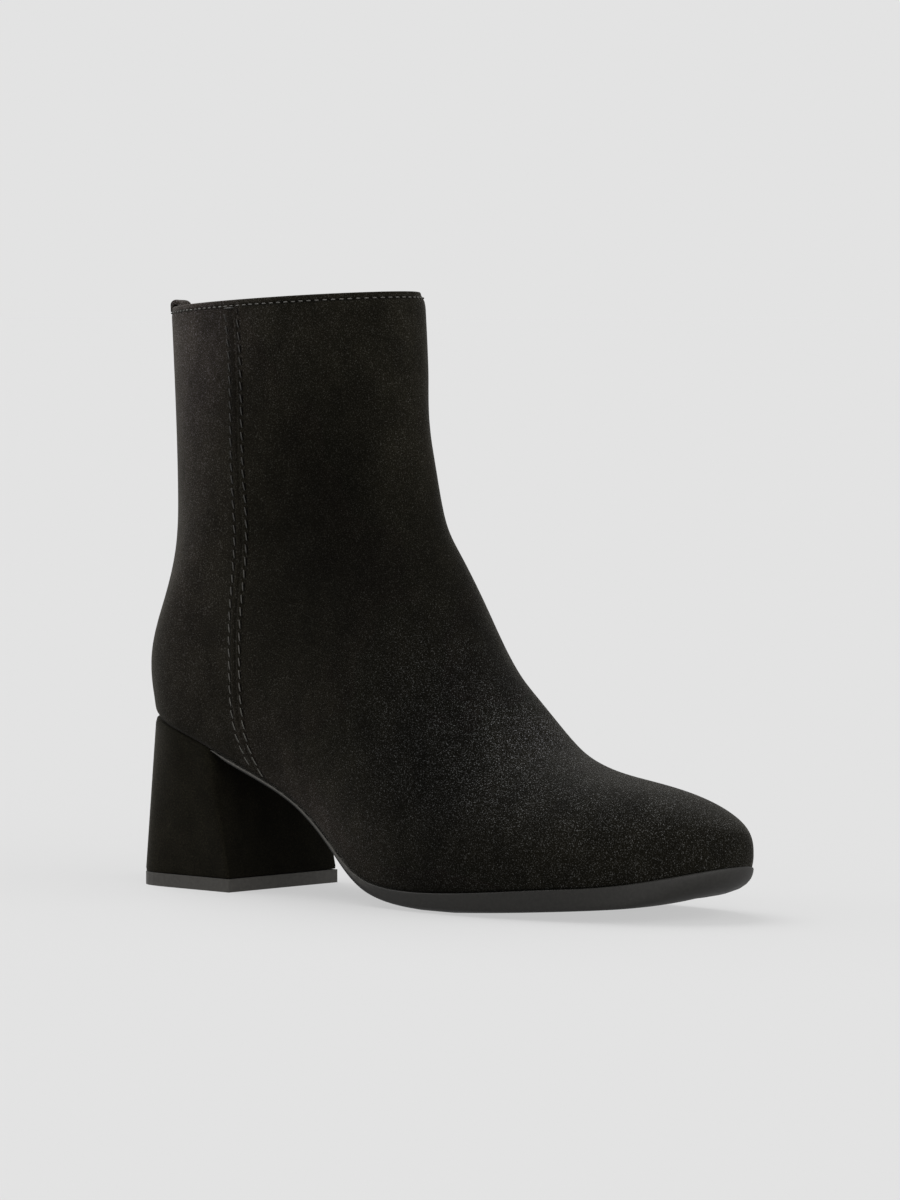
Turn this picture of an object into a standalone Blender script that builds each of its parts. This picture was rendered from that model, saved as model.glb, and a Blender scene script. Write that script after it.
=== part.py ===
"""Ankle bootie for the right foot with a covered block heel, built as separate pieces.

The upper is a hollow shell lofted through sections of the last: sections of the foot are open underneath,
sections of the shaft close at the back line. Every section lies in a plane that holds the Y axis direction and
runs from a foot point (on the sole line or the back line) to a ridge point (vamp, instep, front of the shaft).
Sole, insole, heel and seams are worked out from the same sections.

Frame: metres, +Z up, +X to the toe, +Y to the inner side of the foot, origin on the floor under the middle.
The sizes below are in millimetres, with X counted from the back of the heel seat.
"""

from collections import namedtuple

import bmesh
import bpy
import numpy as np

MM = 0.001

# Driving dimensions
FOOT_LENGTH = 245.0  # heel seat to toe tip, in plan
BALL_WIDTH = 80.0  # upper across the ball
HEEL_HEIGHT = 58.0  # heel seat above the floor
BOOT_HEIGHT = 203.8  # front of the collar above the floor
WALL = 2.0  # suede and lining together
GAP = 0.3  # between pieces that touch

# Ends of the sole line: where they start to round off, and how square they are
TOE_START = 198.0
TOE_POWER = 2.4
TOE_TIP_HEIGHT = 0.45  # share of the section's height that is left at the tip
HEEL_START = 28.0
HEEL_POWER = 2.0
TOE_SWING = 8.0  # how far the toe tip lies to the inner side
SWING_START = 130.0

# Sections: x as a share of FOOT_LENGTH, half widths as shares of BALL_WIDTH, ridge_z of BOOT_HEIGHT,
# foot_z of HEEL_HEIGHT under the foot and of BOOT_HEIGHT up the back line. rise is the share of the section's
# height at its widest place, and full says how square its top is, 2 being an ellipse.
Section = namedtuple("Section", "foot_x foot_z ridge_x ridge_z outer inner outer_foot inner_foot rise full")
Shape = namedtuple("Shape", "foot_x foot_z wide_x wide_z ridge_x ridge_z outer inner outer_foot inner_foot full")
FOOT_SECTIONS = {
    "toe tip": Section(1.000, 0.267, 1.000, 0.180, 0.325, 0.338, 0.319, 0.331, 0.28, 2.50),
    "toe": Section(0.918, 0.221, 0.918, 0.199, 0.413, 0.400, 0.400, 0.394, 0.28, 2.40),
    "toe joint": Section(0.811, 0.176, 0.811, 0.2195, 0.481, 0.456, 0.463, 0.444, 0.28, 2.20),
    "ball": Section(0.705, 0.138, 0.705, 0.2605, 0.519, 0.488, 0.494, 0.475, 0.28, 2.05),
    "ball back": Section(0.607, 0.114, 0.640, 0.336, 0.513, 0.469, 0.481, 0.438, 0.30, 1.95),
    "waist front": Section(0.525, 0.124, 0.5902, 0.406, 0.494, 0.450, 0.444, 0.388, 0.32, 1.95),
    "low waist": Section(0.463, 0.198, 0.5600, 0.467, 0.475, 0.438, 0.413, 0.356, 0.34, 1.95),
    "waist": Section(0.402, 0.397, 0.537, 0.520, 0.456, 0.425, 0.388, 0.344, 0.36, 1.95),
    "high waist": Section(0.336, 0.578, 0.5145, 0.568, 0.444, 0.419, 0.369, 0.338, 0.36, 1.95),
    "shank": Section(0.254, 0.716, 0.4930, 0.617, 0.431, 0.413, 0.356, 0.338, 0.36, 1.95),
    "heel breast": Section(0.172, 0.836, 0.4803, 0.660, 0.425, 0.413, 0.343, 0.338, 0.36, 1.95),
    "heel seat": Section(0.090, 0.940, 0.4727, 0.704, 0.419, 0.406, 0.326, 0.322, 0.365, 1.95),
    "heel back": Section(0.000, 1.003, 0.4648, 0.760, 0.413, 0.400, 0.308, 0.304, 0.38, 1.98),
}
SHAFT_SECTIONS = {
    "counter": Section(-0.007, 0.355, 0.4600, 0.798, 0.406, 0.400, 0.0, 0.0, 0.39, 2.00),
    "counter top": Section(0.0125, 0.433, 0.4560, 0.837, 0.402, 0.400, 0.0, 0.0, 0.42, 2.00),
    "ankle": Section(0.0385, 0.542, 0.4525, 0.882, 0.400, 0.400, 0.0, 0.0, 0.455, 2.00),
    "low shaft": Section(0.0415, 0.650, 0.4493, 0.921, 0.400, 0.400, 0.0, 0.0, 0.48, 2.00),
    "collar": Section(0.0275, 0.9705, 0.4435, 1.000, 0.400, 0.400, 0.0, 0.0, 0.50, 2.00),
}

# Mesh of the upper
TOE_STATIONS = 9
FOOT_STATIONS = 18
HEEL_STATIONS = 8
SHAFT_STATIONS = 16
SIDE_POINTS = 18  # from the sole line to the ridge
FINE_STEPS = 60  # steps in which curves are worked out before they are spaced evenly

# Side seams, as a height above the floor and an x, from the collar down to the sole line
Point = namedtuple("Point", "z x")
SEAM_ROUTE = (
    Point(198.5, 57.6),
    Point(178.0, 59.1),
    Point(145.0, 59.9),
    Point(118.0, 61.0),
    Point(97.0, 60.2),
    Point(75.0, 60.0),
    Point(52.0, 61.6),
    Point(41.2, 66.6),
)
SEAM_WIDTH = 7.0
SEAM_PROUD = 0.5
SEAM_ROOT = 1.0  # depth of the seam's own solid in the wall
SEAM_END_TILT = -0.38  # slope of the seam's lower end, along the sole line
SEAM_STATIONS = 26

# Outsole
SOLE_REAR = 43.2
SOLE_MARGIN = 0.6  # how far the edge stands out past the sole line
FLAT_START = 145.0
FLAT_END = 160.0
TOE_SPRING = 5.7  # rise of the tread line at the toe
SPRING_POWER = 1.05
TIP_ROLL = 1.3  # further rise where the tread rolls up to the tip
TIP_POWER = 7.0
INNER_ROLL = 2.2  # further rise at the inner side of the toe
INNER_ROLL_FROM = 200.0
INNER_ROLL_TO = 238.0
INNER_ROLL_WIDTH = 14.0
SQUARE_FROM = 150.0  # where the edge, rounded at the ball, turns square towards the toe
SQUARE_TO = 192.0
TIP_FROM = 229.0  # where it turns round again for the tip
Thickness = namedtuple("Thickness", "x depth")
WAIST_THICKNESS = (
    Thickness(SOLE_REAR, 1.2),
    Thickness(85.0, 1.3),
    Thickness(105.0, 2.3),
    Thickness(121.0, 4.4),
    Thickness(131.0, 5.4),
)
EdgeRow = namedtuple("EdgeRow", "inset ball side tip")  # shares of the edge's height along the sole
SOLE_EDGE = (
    EdgeRow(0.3, 1.0, 1.0, 1.0),
    EdgeRow(0.0, 0.93, 0.93, 0.92),
    EdgeRow(0.15, 0.48, 0.36, 0.68),
    EdgeRow(0.5, 0.32, 0.18, 0.47),
    EdgeRow(1.6, 0.20, 0.08, 0.18),
    EdgeRow(8.0, 0.06, 0.02, 0.01),
    EdgeRow(18.0, 0.0, 0.0, 0.0),
)
TIP_SPREAD = 1.6  # how much further in the rounded tip reaches, for rows up to TIP_ROUND in
TIP_ROUND = 2.0

# Heel block and its rubber top lift
LIFT_HEIGHT = 4.8
HEEL_FRONT = 42.3  # breast at the heel seat
HEEL_SEAT_INSET = -0.4
LIFT_FRONT = 51.5
LIFT_BACK = 3.1
LIFT_ROUND_START = 30.0
LIFT_POWER = 5.0
LIFT_FRONT_HALF = 27.0
LIFT_BACK_HALF = 24.4
LIFT_CENTRE_Y = -0.5
HEEL_SIDE_POINTS = 22
HEEL_LEVELS = 5
HEEL_BEVEL = 0.8
LIFT_BEVEL = 0.4

# Insole
INSOLE_THICKNESS = 2.5
INSOLE_CLEARANCE = 0.7

# Doubled end of the collar's edge tape, lapped over the rim beside the back seam
LAP_FROM_Y = -12.0
LAP_TO_Y = -3.5
LAP_STATIONS = 5
LAP_LEG = 3.0
LAP_LEG_THICKNESS = 0.6
LAP_RISE = 2.5
LAP_GAP = 0.4
LAP_LEAN_SHARE = 0.98  # section by which the wall's lean at the collar is taken

SUEDE_COLOUR = (0.012, 0.011, 0.010)
RUBBER_COLOUR = (0.030, 0.030, 0.029)
INSOLE_COLOUR = (0.050, 0.042, 0.035)

OUTER = -1  # side of the foot that faces away from the other one
INNER = 1


def natural_spline(knots, values):
    """Natural cubic spline through the values, as a function of numbers or arrays."""
    knots, values = np.asarray(knots, float), np.asarray(values, float)
    count, step = len(knots), np.diff(knots)
    matrix, right = np.eye(count), np.zeros(count)
    for i in range(1, count - 1):
        matrix[i, i - 1 : i + 2] = step[i - 1], 2 * (step[i - 1] + step[i]), step[i]
        right[i] = 6 * ((values[i + 1] - values[i]) / step[i] - (values[i] - values[i - 1]) / step[i - 1])
    bend = np.linalg.solve(matrix, right)

    def curve(x):
        i = np.clip(np.searchsorted(knots, x) - 1, 0, count - 2)
        h, a, b = step[i], knots[i + 1] - x, x - knots[i]
        cubic = (bend[i] * a**3 + bend[i + 1] * b**3) / (6 * h)
        return cubic + (values[i] / h - bend[i] * h / 6) * a + (values[i + 1] / h - bend[i + 1] * h / 6) * b

    return curve


def section_shapes():
    """All sections in millimetres, from the toe tip to the collar, each with the place where it is widest."""
    for group, foot_height in ((FOOT_SECTIONS, HEEL_HEIGHT), (SHAFT_SECTIONS, BOOT_HEIGHT)):
        for row in group.values():
            foot = np.array([row.foot_x * FOOT_LENGTH, row.foot_z * foot_height])
            ridge = np.array([row.ridge_x * FOOT_LENGTH, row.ridge_z * BOOT_HEIGHT])
            wide = foot + row.rise * (ridge - foot)
            halves = [share * BALL_WIDTH for share in (row.outer, row.inner, row.outer_foot, row.inner_foot)]
            yield Shape(*foot, *wide, *ridge, *halves, row.full)


def cornered_spline(knots, values, corner):
    """Two splines that meet in a corner at the knot with the given index."""
    before = natural_spline(knots[: corner + 1], values[: corner + 1])
    after = natural_spline(knots[corner:], values[corner:])
    return lambda x: np.where(x <= knots[corner], before(x), after(x))


def section_curves():
    """A spline for each value of a section, over the share of the way from the toe tip to the collar, and the
    heel's share. The line of the foot points turns a corner at the heel, from the sole line to the back line."""
    shapes = list(section_shapes())
    rows = np.array(shapes)
    foot = np.array([(shape.foot_x, shape.foot_z) for shape in shapes])
    ridge = np.array([(shape.ridge_x, shape.ridge_z) for shape in shapes])
    moved = np.linalg.norm(np.diff(foot, axis=0), axis=1) + np.linalg.norm(np.diff(ridge, axis=0), axis=1)
    knots = np.concatenate([[0.0], np.cumsum(moved)]) / moved.sum()
    heel = len(FOOT_SECTIONS) - 1
    curves = {}
    for name, column in zip(Shape._fields, rows.T):
        cornered = "foot" in name
        curves[name] = cornered_spline(knots, column, heel) if cornered else natural_spline(knots, column)
    return Shape(**curves), knots[heel]


CURVES, HEEL_SHARE = section_curves()
FOOT_SHARES = np.linspace(0.0, HEEL_SHARE, 400)
FOOT_XS = CURVES.foot_x(FOOT_SHARES)


def share_at(x):
    """Share of the way at which the sole line passes x."""
    return np.interp(-np.asarray(x, float), -FOOT_XS, FOOT_SHARES)


def rounding(distance, reach, power):
    """Share of a width that is left at a distance into a rounded end."""
    into = np.clip(np.asarray(distance, float) / reach, 0.0, 1.0)
    return (1.0 - into**power) ** (1.0 / power)


def toe_rounding(x):
    return rounding(x - TOE_START, FOOT_LENGTH - TOE_START, TOE_POWER)


def heel_rounding(x):
    return rounding(HEEL_START - x, HEEL_START, HEEL_POWER)


def swing(x):
    """Offset of the foot's middle line to the inner side."""
    into = np.clip((np.asarray(x, float) - SWING_START) / (FOOT_LENGTH - SWING_START), 0.0, 1.0)
    return TOE_SWING * into**2


def shaped_section(share):
    """The section at a share of the way, with the roundings of toe and heel in it."""
    raw = Shape(*(float(curve(share)) for curve in CURVES))
    toe = float(toe_rounding(raw.foot_x))
    heel = float(heel_rounding(raw.foot_x)) if share < HEEL_SHARE else 0.0
    height = TOE_TIP_HEIGHT + (1.0 - TOE_TIP_HEIGHT) * toe
    return raw._replace(
        wide_x=raw.foot_x + (raw.wide_x - raw.foot_x) * height,
        wide_z=raw.foot_z + (raw.wide_z - raw.foot_z) * height,
        ridge_x=raw.foot_x + (raw.ridge_x - raw.foot_x) * height,
        ridge_z=raw.foot_z + (raw.ridge_z - raw.foot_z) * height,
        outer=raw.outer * toe,
        inner=raw.inner * toe,
        outer_foot=raw.outer_foot * toe * heel,
        inner_foot=raw.inner_foot * toe * heel,
    )


def section_line(section):
    """Foot, widest place and ridge of a section in side view."""
    foot = np.array([section.foot_x, section.foot_z])
    wide = np.array([section.wide_x, section.wide_z])
    ridge = np.array([section.ridge_x, section.ridge_z])
    return foot, wide, ridge


def half_widths(section, side):
    """Half width of a section at its widest place and at its foot, on one side."""
    if side == OUTER:
        return section.outer, section.outer_foot
    return section.inner, section.inner_foot


def lower_half(into, width, foot_width):
    """Half width at a share of the way from the widest place down to the foot: an ellipse that the foot cuts."""
    cut = np.sqrt(np.clip(1.0 - (foot_width / max(width, 1e-6)) ** 2, 0.0, 1.0))
    return width * np.sqrt(1.0 - (into * cut) ** 2)


def upper_half(into, width, full):
    """Half width at a share of the way from the widest place up to the ridge: a superellipse."""
    return width * (1.0 - into**full) ** (1.0 / full)


def even_points(line, count):
    """The line's points spaced evenly along its length."""
    along = np.concatenate([[0.0], np.cumsum(np.linalg.norm(np.diff(line, axis=0), axis=1))])
    steps = np.linspace(0.0, along[-1], count)
    return np.column_stack([np.interp(steps, along, column) for column in line.T])


def section_side(section, side, count):
    """Points of one side of a section, from the sole or back line up to the ridge."""
    foot, wide, ridge = section_line(section)
    width, foot_width = half_widths(section, side)
    turn = np.linspace(0.0, np.pi / 2, FINE_STEPS)
    down, up = np.cos(turn), np.sin(turn[1:])
    plane = np.concatenate([wide + down[:, None] * (foot - wide), wide + up[:, None] * (ridge - wide)])
    half = np.concatenate([lower_half(down, width, foot_width), upper_half(up, width, section.full)])
    line = np.column_stack([plane[:, 0], side * half + swing(plane[:, 0]), plane[:, 1]])
    return even_points(line, count)


def upper_stations():
    """Shares of the way for the upper's sections, closer together where the ends round off, and the heel's index."""
    toe_turn = np.linspace(np.pi / 2, 0.0, TOE_STATIONS, endpoint=False)
    toe = share_at(TOE_START + (FOOT_LENGTH - TOE_START) * np.sin(toe_turn))
    foot = np.linspace(share_at(TOE_START), share_at(HEEL_START), FOOT_STATIONS, endpoint=False)
    heel_turn = np.linspace(0.0, np.pi / 2, HEEL_STATIONS, endpoint=False)
    heel = share_at(HEEL_START * (1.0 - np.sin(heel_turn)))
    shaft = np.linspace(HEEL_SHARE, 1.0, SHAFT_STATIONS)
    return np.concatenate([toe, foot, heel, shaft]), TOE_STATIONS + FOOT_STATIONS + HEEL_STATIONS


def side_point(x, z, side):
    """Point of the upper's outside at a place in side view."""
    place = np.array([x, z])
    shares = np.linspace(0.0, 1.0, 10 * FINE_STEPS)
    curves = Shape(*(curve(shares) for curve in CURVES))
    foot, wide, ridge = (np.swapaxes(points, 0, 1) for points in section_line(curves))
    low = ((place - wide) * (foot - wide)).sum(axis=1) > 0.0
    along = np.where(low[:, None], wide - foot, ridge - wide)
    past = along[:, 0] * (z - wide[:, 1]) - along[:, 1] * (x - wide[:, 0])
    crossing = np.nonzero((past[:-1] > 0) != (past[1:] > 0))[0][-1]
    part = past[crossing] / (past[crossing] - past[crossing + 1])
    section = shaped_section(shares[crossing] + part * shares[1])
    foot, wide, ridge = section_line(section)
    width, foot_width = half_widths(section, side)
    end = foot if low[crossing] else ridge
    into = np.clip(np.dot(place - wide, end - wide) / np.dot(end - wide, end - wide), 0.0, 1.0)
    half = lower_half(into, width, foot_width) if low[crossing] else upper_half(into, width, section.full)
    return np.array([x, side * float(half) + float(swing(x)), z])


def side_normal(x, z, side, step=0.5):
    """Outward direction of the upper's outside at a place in side view."""
    along = side_point(x + step, z, side) - side_point(x - step, z, side)
    upward = side_point(x, z + step, side) - side_point(x, z - step, side)
    normal = np.cross(along, upward)
    normal *= side * np.sign(normal[1]) / np.linalg.norm(normal)
    return normal


def sole_line(x_from):
    """The sole line from x_from at the outer side, round the toe, to x_from at the inner side: x, y, z and
    the outward direction in plan."""
    stations, heel = upper_stations()
    x = CURVES.foot_x(stations[heel::-1])
    x = np.concatenate([[x_from], x[x > x_from + 1.0]])
    shares = share_at(x)
    round_off = toe_rounding(x) * heel_rounding(x)
    z = CURVES.foot_z(shares)
    outer = np.stack([x, swing(x) - CURVES.outer_foot(shares) * round_off, z], axis=1)
    inner = np.stack([x, swing(x) + CURVES.inner_foot(shares) * round_off, z], axis=1)
    line = np.concatenate([outer, inner[-2::-1]])
    tangent = np.gradient(line[:, :2], axis=0)
    outward = np.stack([tangent[:, 1], -tangent[:, 0]], axis=1)
    if x_from <= 0.0:
        outward[[0, -1]] = (-1.0, 0.0)
    outward /= np.linalg.norm(outward, axis=1)[:, None]
    return line, outward


def smooth_step(value):
    """From 0 to 1 with a soft start and end."""
    value = np.clip(value, 0.0, 1.0)
    return value * value * (3.0 - 2.0 * value)


def sole_bottom(x, top):
    """Underside of the outsole: a thin waist, a flat tread and a toe that springs up."""
    flat_top = float(CURVES.foot_z(share_at(FLAT_START))) - GAP
    rows = WAIST_THICKNESS + (Thickness(FLAT_START, flat_top),)
    waist = top - np.interp(x, [row.x for row in rows], [row.depth for row in rows])
    into = np.clip((x - FLAT_END) / (FOOT_LENGTH - FLAT_END), 0.0, 1.0)
    spring = TOE_SPRING * into**SPRING_POWER + TIP_ROLL * into**TIP_POWER
    return np.where(x < FLAT_START, np.maximum(waist, 0.0), spring)


def suede():
    return material("suede", SUEDE_COLOUR, 0.95)


def rubber():
    return material("rubber", RUBBER_COLOUR, 0.55)


def material(name, colour, roughness):
    """A Principled material of one colour."""
    made = bpy.data.materials.get(name) or bpy.data.materials.new(name)
    made.use_nodes = True
    shader = made.node_tree.nodes["Principled BSDF"]
    shader.inputs["Base Color"].default_value = (*colour, 1.0)
    shader.inputs["Roughness"].default_value = roughness
    shader.inputs["Metallic"].default_value = 0.0
    return made


def add_object(name, points, faces, finish, parent):
    """A mesh object from points in millimetres, welded and with its faces pointing out."""
    mesh = bpy.data.meshes.new(name)
    mesh.from_pydata([tuple(MM * value for value in point) for point in points], [], faces)
    work = bmesh.new()
    work.from_mesh(mesh)
    bmesh.ops.remove_doubles(work, verts=work.verts, dist=MM * 0.002)
    bmesh.ops.recalc_face_normals(work, faces=work.faces)
    work.to_mesh(mesh)
    work.free()
    mesh.materials.append(finish)
    mesh.shade_smooth()
    mesh.set_sharp_from_angle(angle=np.radians(40.0))
    made = bpy.data.objects.new(name, mesh)
    bpy.context.scene.collection.objects.link(made)
    made.parent = parent
    return made


def grid_faces(rows, columns, offset=0, closed=False):
    """Quads between neighbouring rows of a grid of points."""
    last = columns if closed else columns - 1
    for i in range(rows - 1):
        for j in range(last):
            a, b = offset + i * columns + j, offset + i * columns + (j + 1) % columns
            yield (a, b, b + columns, a + columns)


def ladder_faces(first, second):
    """Faces across a sheet between two edges with the same count of points, which may share an end."""
    quads = [(first[k], first[k + 1], second[k + 1], second[k]) for k in range(len(first) - 1)]
    return [tuple(dict.fromkeys(quad)) for quad in quads]


def upper_points():
    """Grid of the upper's outside, a row for each section, from the outer sole line over the ridge to the inner."""
    shares, heel = upper_stations()
    rows = []
    for share in shares:
        section = shaped_section(share)
        outer = section_side(section, OUTER, SIDE_POINTS + 1)
        inner = section_side(section, INNER, SIDE_POINTS + 1)
        rows.append(np.concatenate([outer, inner[-2::-1]]))
    return np.array(rows), heel


def wall_directions(grid, heel):
    """Outward directions on the upper's grid. On its two rims they are level, so that the rims stay flat."""
    down = np.gradient(grid, axis=0)
    across = np.gradient(grid, axis=1)
    across[heel:, 0] = across[heel:, -1] = grid[heel:, 1] - grid[heel:, -2]
    normal = np.cross(down, across)
    middle = grid.shape[1] // 2
    normal *= np.sign(normal[len(grid) // 2, middle, 0])
    normal[0] = (1.0, 0.0, 0.0)
    normal[heel:, 0] = normal[heel:, -1] = normal[heel:, 0] + normal[heel:, -1]
    normal[: heel + 1, (0, -1), 2] = 0.0
    normal[-1, :, 2] = 0.0
    return normal / np.linalg.norm(normal, axis=2)[:, :, None]


def make_upper(parent):
    """Hollow shell, open at the collar and along the sole line, with a raised seam on each side."""
    outside, heel = upper_points()
    inside = outside - WALL * wall_directions(outside, heel)
    rows, columns = outside.shape[:2]
    count = rows * columns
    faces = list(grid_faces(rows, columns)) + list(grid_faces(rows, columns, count))
    for column in (0, columns - 1):
        edge = [i * columns + column for i in range(heel + 1)]
        faces += ladder_faces(edge, [count + k for k in edge])
    collar = list(range(count - columns, count))
    faces += ladder_faces(collar, [count + k for k in collar])
    points = np.concatenate([outside.reshape(-1, 3), inside.reshape(-1, 3)])
    upper = add_object("upper", points, faces, suede(), parent)
    for side, name in ((OUTER, "outer_seam_form"), (INNER, "inner_seam_form")):
        join = upper.modifiers.new(name, "BOOLEAN")
        join.operation = "UNION"
        join.object = seam_form(name, side, parent)
    return upper


def seam_form(name, side, parent):
    """Low welt along a side seam, rooted in the wall, as a hidden form that the upper is joined with."""
    route = natural_spline([-row.z for row in SEAM_ROUTE], [row.x for row in SEAM_ROUTE])
    profile = ((-0.5, -SEAM_ROOT), (-0.5, 0.1), (-0.35, SEAM_PROUD),
               (0.35, SEAM_PROUD), (0.5, 0.1), (0.5, -SEAM_ROOT))
    points = []
    for down in np.linspace(0.0, 1.0, SEAM_STATIONS):
        z = SEAM_ROUTE[0].z + down * (SEAM_ROUTE[-1].z - SEAM_ROUTE[0].z)
        x = float(route(-z))
        tilt = SEAM_END_TILT * down**3
        for across, height in profile:
            at_x, at_z = x + across * SEAM_WIDTH, z + across * SEAM_WIDTH * tilt
            points.append(side_point(at_x, at_z, side) + height * side_normal(at_x, at_z, side))
    ring = len(points) // SEAM_STATIONS
    faces = list(grid_faces(SEAM_STATIONS, ring, closed=True))
    faces += [tuple(range(ring)), tuple(range(len(points) - ring, len(points)))]
    form = add_object(name, points, faces, suede(), parent)
    form.hide_render = True
    form.display_type = "WIRE"
    return form


def make_outsole(parent):
    """Rubber sole from the heel's breast to the toe: rings of its edge, then the sheets above and below."""
    line, outward = sole_line(SOLE_REAR)
    x = line[:, 0]
    top = line[:, 2] - GAP
    inner_roll = smooth_step((x - INNER_ROLL_FROM) / (INNER_ROLL_TO - INNER_ROLL_FROM))
    inner_roll *= smooth_step((line[:, 1] - swing(x)) / INNER_ROLL_WIDTH)
    bottom = sole_bottom(x, top) + INNER_ROLL * inner_roll
    depth = top - bottom
    full_depth = depth.max()
    square = smooth_step((x - SQUARE_FROM) / (SQUARE_TO - SQUARE_FROM))
    tip = np.maximum(smooth_step((x - TIP_FROM) / (FOOT_LENGTH - TIP_FROM)), inner_roll)
    rings = []
    for row in SOLE_EDGE:
        inset = row.inset + TIP_SPREAD * tip * min(row.inset, TIP_ROUND)
        share = row.ball + (row.side - row.ball) * square + (row.tip - row.side) * tip
        plan = line[:, :2] + outward * (SOLE_MARGIN - inset * depth / full_depth)[:, None]
        plan[[0, -1], 0] = SOLE_REAR
        rings.append(np.column_stack([plan, bottom + depth * share]))
    count = len(line)
    faces = list(grid_faces(len(rings), count))
    half = count // 2
    for ring in (0, len(rings) - 1):
        start = ring * count
        outer = list(range(start, start + half + 1))
        inner = list(range(start + count - 1, start + half - 1, -1))
        faces += ladder_faces(outer, inner)
    first = [ring * count for ring in range(len(rings))]
    last = [ring * count + count - 1 for ring in range(len(rings))]
    faces += ladder_faces(first, last)
    return add_object("outsole", np.concatenate(rings), faces, rubber(), parent)


def make_insole(parent):
    """Footbed between the walls of the upper, from the heel to the toe."""
    line, outward = sole_line(0.0)
    plan = line[:, :2] - outward * (WALL + INSOLE_CLEARANCE)
    below = np.column_stack([plan, line[:, 2]])
    above = below + (0.0, 0.0, INSOLE_THICKNESS)
    count = len(line)
    half = count // 2
    faces = list(grid_faces(2, count, closed=True))
    for start in (0, count):
        outer = list(range(start, start + half + 1))
        inner = list(range(start + count - 1, start + half - 1, -1))
        faces += ladder_faces(outer, inner)
    finish = material("insole", INSOLE_COLOUR, 0.8)
    return add_object("insole", np.concatenate([below, above]), faces, finish, parent)


def heel_seat_side(side):
    """Edge of the heel seat from the breast to the back, at one side."""
    reach = HEEL_START - HEEL_SEAT_INSET
    straight = np.linspace(HEEL_FRONT, HEEL_START, 20, endpoint=False)
    x = np.concatenate([straight, HEEL_START - reach * np.sin(np.linspace(0.0, np.pi / 2, 80))])
    shares = share_at(x)
    foot = CURVES.outer_foot(shares) if side == OUTER else CURVES.inner_foot(shares)
    y = side * (foot - HEEL_SEAT_INSET) * rounding(HEEL_START - x, reach, HEEL_POWER)
    plan = even_points(np.column_stack([x, y]), HEEL_SIDE_POINTS)
    return np.column_stack([plan, CURVES.foot_z(share_at(plan[:, 0])) - GAP])


def lift_side(side, z):
    """Edge of the top lift from its front to its back, at one side."""
    reach = LIFT_ROUND_START - LIFT_BACK
    straight = np.linspace(LIFT_FRONT, LIFT_ROUND_START, 20, endpoint=False)
    x = np.concatenate([straight, LIFT_ROUND_START - reach * np.sin(np.linspace(0.0, np.pi / 2, 80))])
    half = np.interp(x, [LIFT_BACK, LIFT_FRONT], [LIFT_BACK_HALF, LIFT_FRONT_HALF])
    half *= rounding(LIFT_ROUND_START - x, reach, LIFT_POWER)
    plan = even_points(np.column_stack([x, LIFT_CENTRE_Y + side * half]), HEEL_SIDE_POINTS)
    return np.column_stack([plan, np.full(len(plan), z)])


def block(name, upper_sides, lower_sides, levels, bevel, finish, parent):
    """A solid between two outlines, each given as its outer and inner side from the front to the back."""
    top = np.concatenate([upper_sides[0], upper_sides[1][-2::-1]])
    bottom = np.concatenate([lower_sides[0], lower_sides[1][-2::-1]])
    shares = np.linspace(0.0, 1.0, levels)
    rings = [top + (bottom - top) * share for share in shares]
    count = len(top)
    half = count // 2
    faces = list(grid_faces(levels, count, closed=True))
    faces += ladder_faces(list(range(half + 1)), list(range(count - 1, half - 1, -1)))
    faces.append(tuple(range((levels - 1) * count, levels * count)))
    made = add_object(name, np.concatenate(rings), faces, finish, parent)
    edge = made.modifiers.new("edges", "BEVEL")
    edge.width = MM * bevel
    edge.segments = 2
    edge.limit_method = "ANGLE"
    edge.angle_limit = np.radians(50.0)
    return made


def make_heel(parent):
    """Suede covered block heel: the round heel seat above runs out to a squarer, flared foot."""
    seat = [heel_seat_side(side) for side in (OUTER, INNER)]
    foot = [lift_side(side, LIFT_HEIGHT) for side in (OUTER, INNER)]
    block("heel_block", seat, foot, HEEL_LEVELS, HEEL_BEVEL, suede(), parent)
    above = [lift_side(side, LIFT_HEIGHT - GAP) for side in (OUTER, INNER)]
    below = [lift_side(side, 0.0) for side in (OUTER, INNER)]
    block("top_lift", above, below, 2, LIFT_BEVEL, rubber(), parent)


def make_collar_lap(parent):
    """Saddle over the rim beside the back seam."""
    collar = shaped_section(1.0)
    rim = np.concatenate([section_side(collar, OUTER, 80), section_side(collar, INNER, 80)[::-1]])
    back = rim[rim[:, 0] < (collar.foot_x + collar.ridge_x) / 2]
    back = back[np.argsort(back[:, 1])]
    tangent = np.gradient(back, axis=0)
    levels = np.linspace(LAP_FROM_Y, LAP_TO_Y, LAP_STATIONS)
    base = np.column_stack([np.interp(levels, back[:, 1], column) for column in back.T])
    run = np.column_stack([np.interp(levels, back[:, 1], column) for column in tangent.T])
    out = np.column_stack([-run[:, 1], run[:, 0], np.zeros(LAP_STATIONS)])
    out /= np.linalg.norm(out, axis=1)[:, None]
    lower = shaped_section(LAP_LEAN_SHARE)
    lean = (lower.foot_x - collar.foot_x) / (collar.foot_z - lower.foot_z)
    far, near = LAP_GAP + LAP_LEG_THICKNESS, LAP_GAP
    profile = ((far, -LAP_LEG), (far, LAP_RISE), (-WALL - far, LAP_RISE), (-WALL - far, -LAP_LEG),
               (-WALL - near, -LAP_LEG), (-WALL - near, near), (near, near), (near, -LAP_LEG))
    points = [base[k] + out[k] * reach + np.array([-lean * height, 0.0, height])
              for k in range(LAP_STATIONS) for reach, height in profile]
    ring = len(profile)
    faces = list(grid_faces(LAP_STATIONS, ring, closed=True))
    faces += [tuple(range(ring)), tuple(range(len(points) - ring, len(points)))]
    return add_object("collar_lap", points, faces, suede(), parent)


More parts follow.
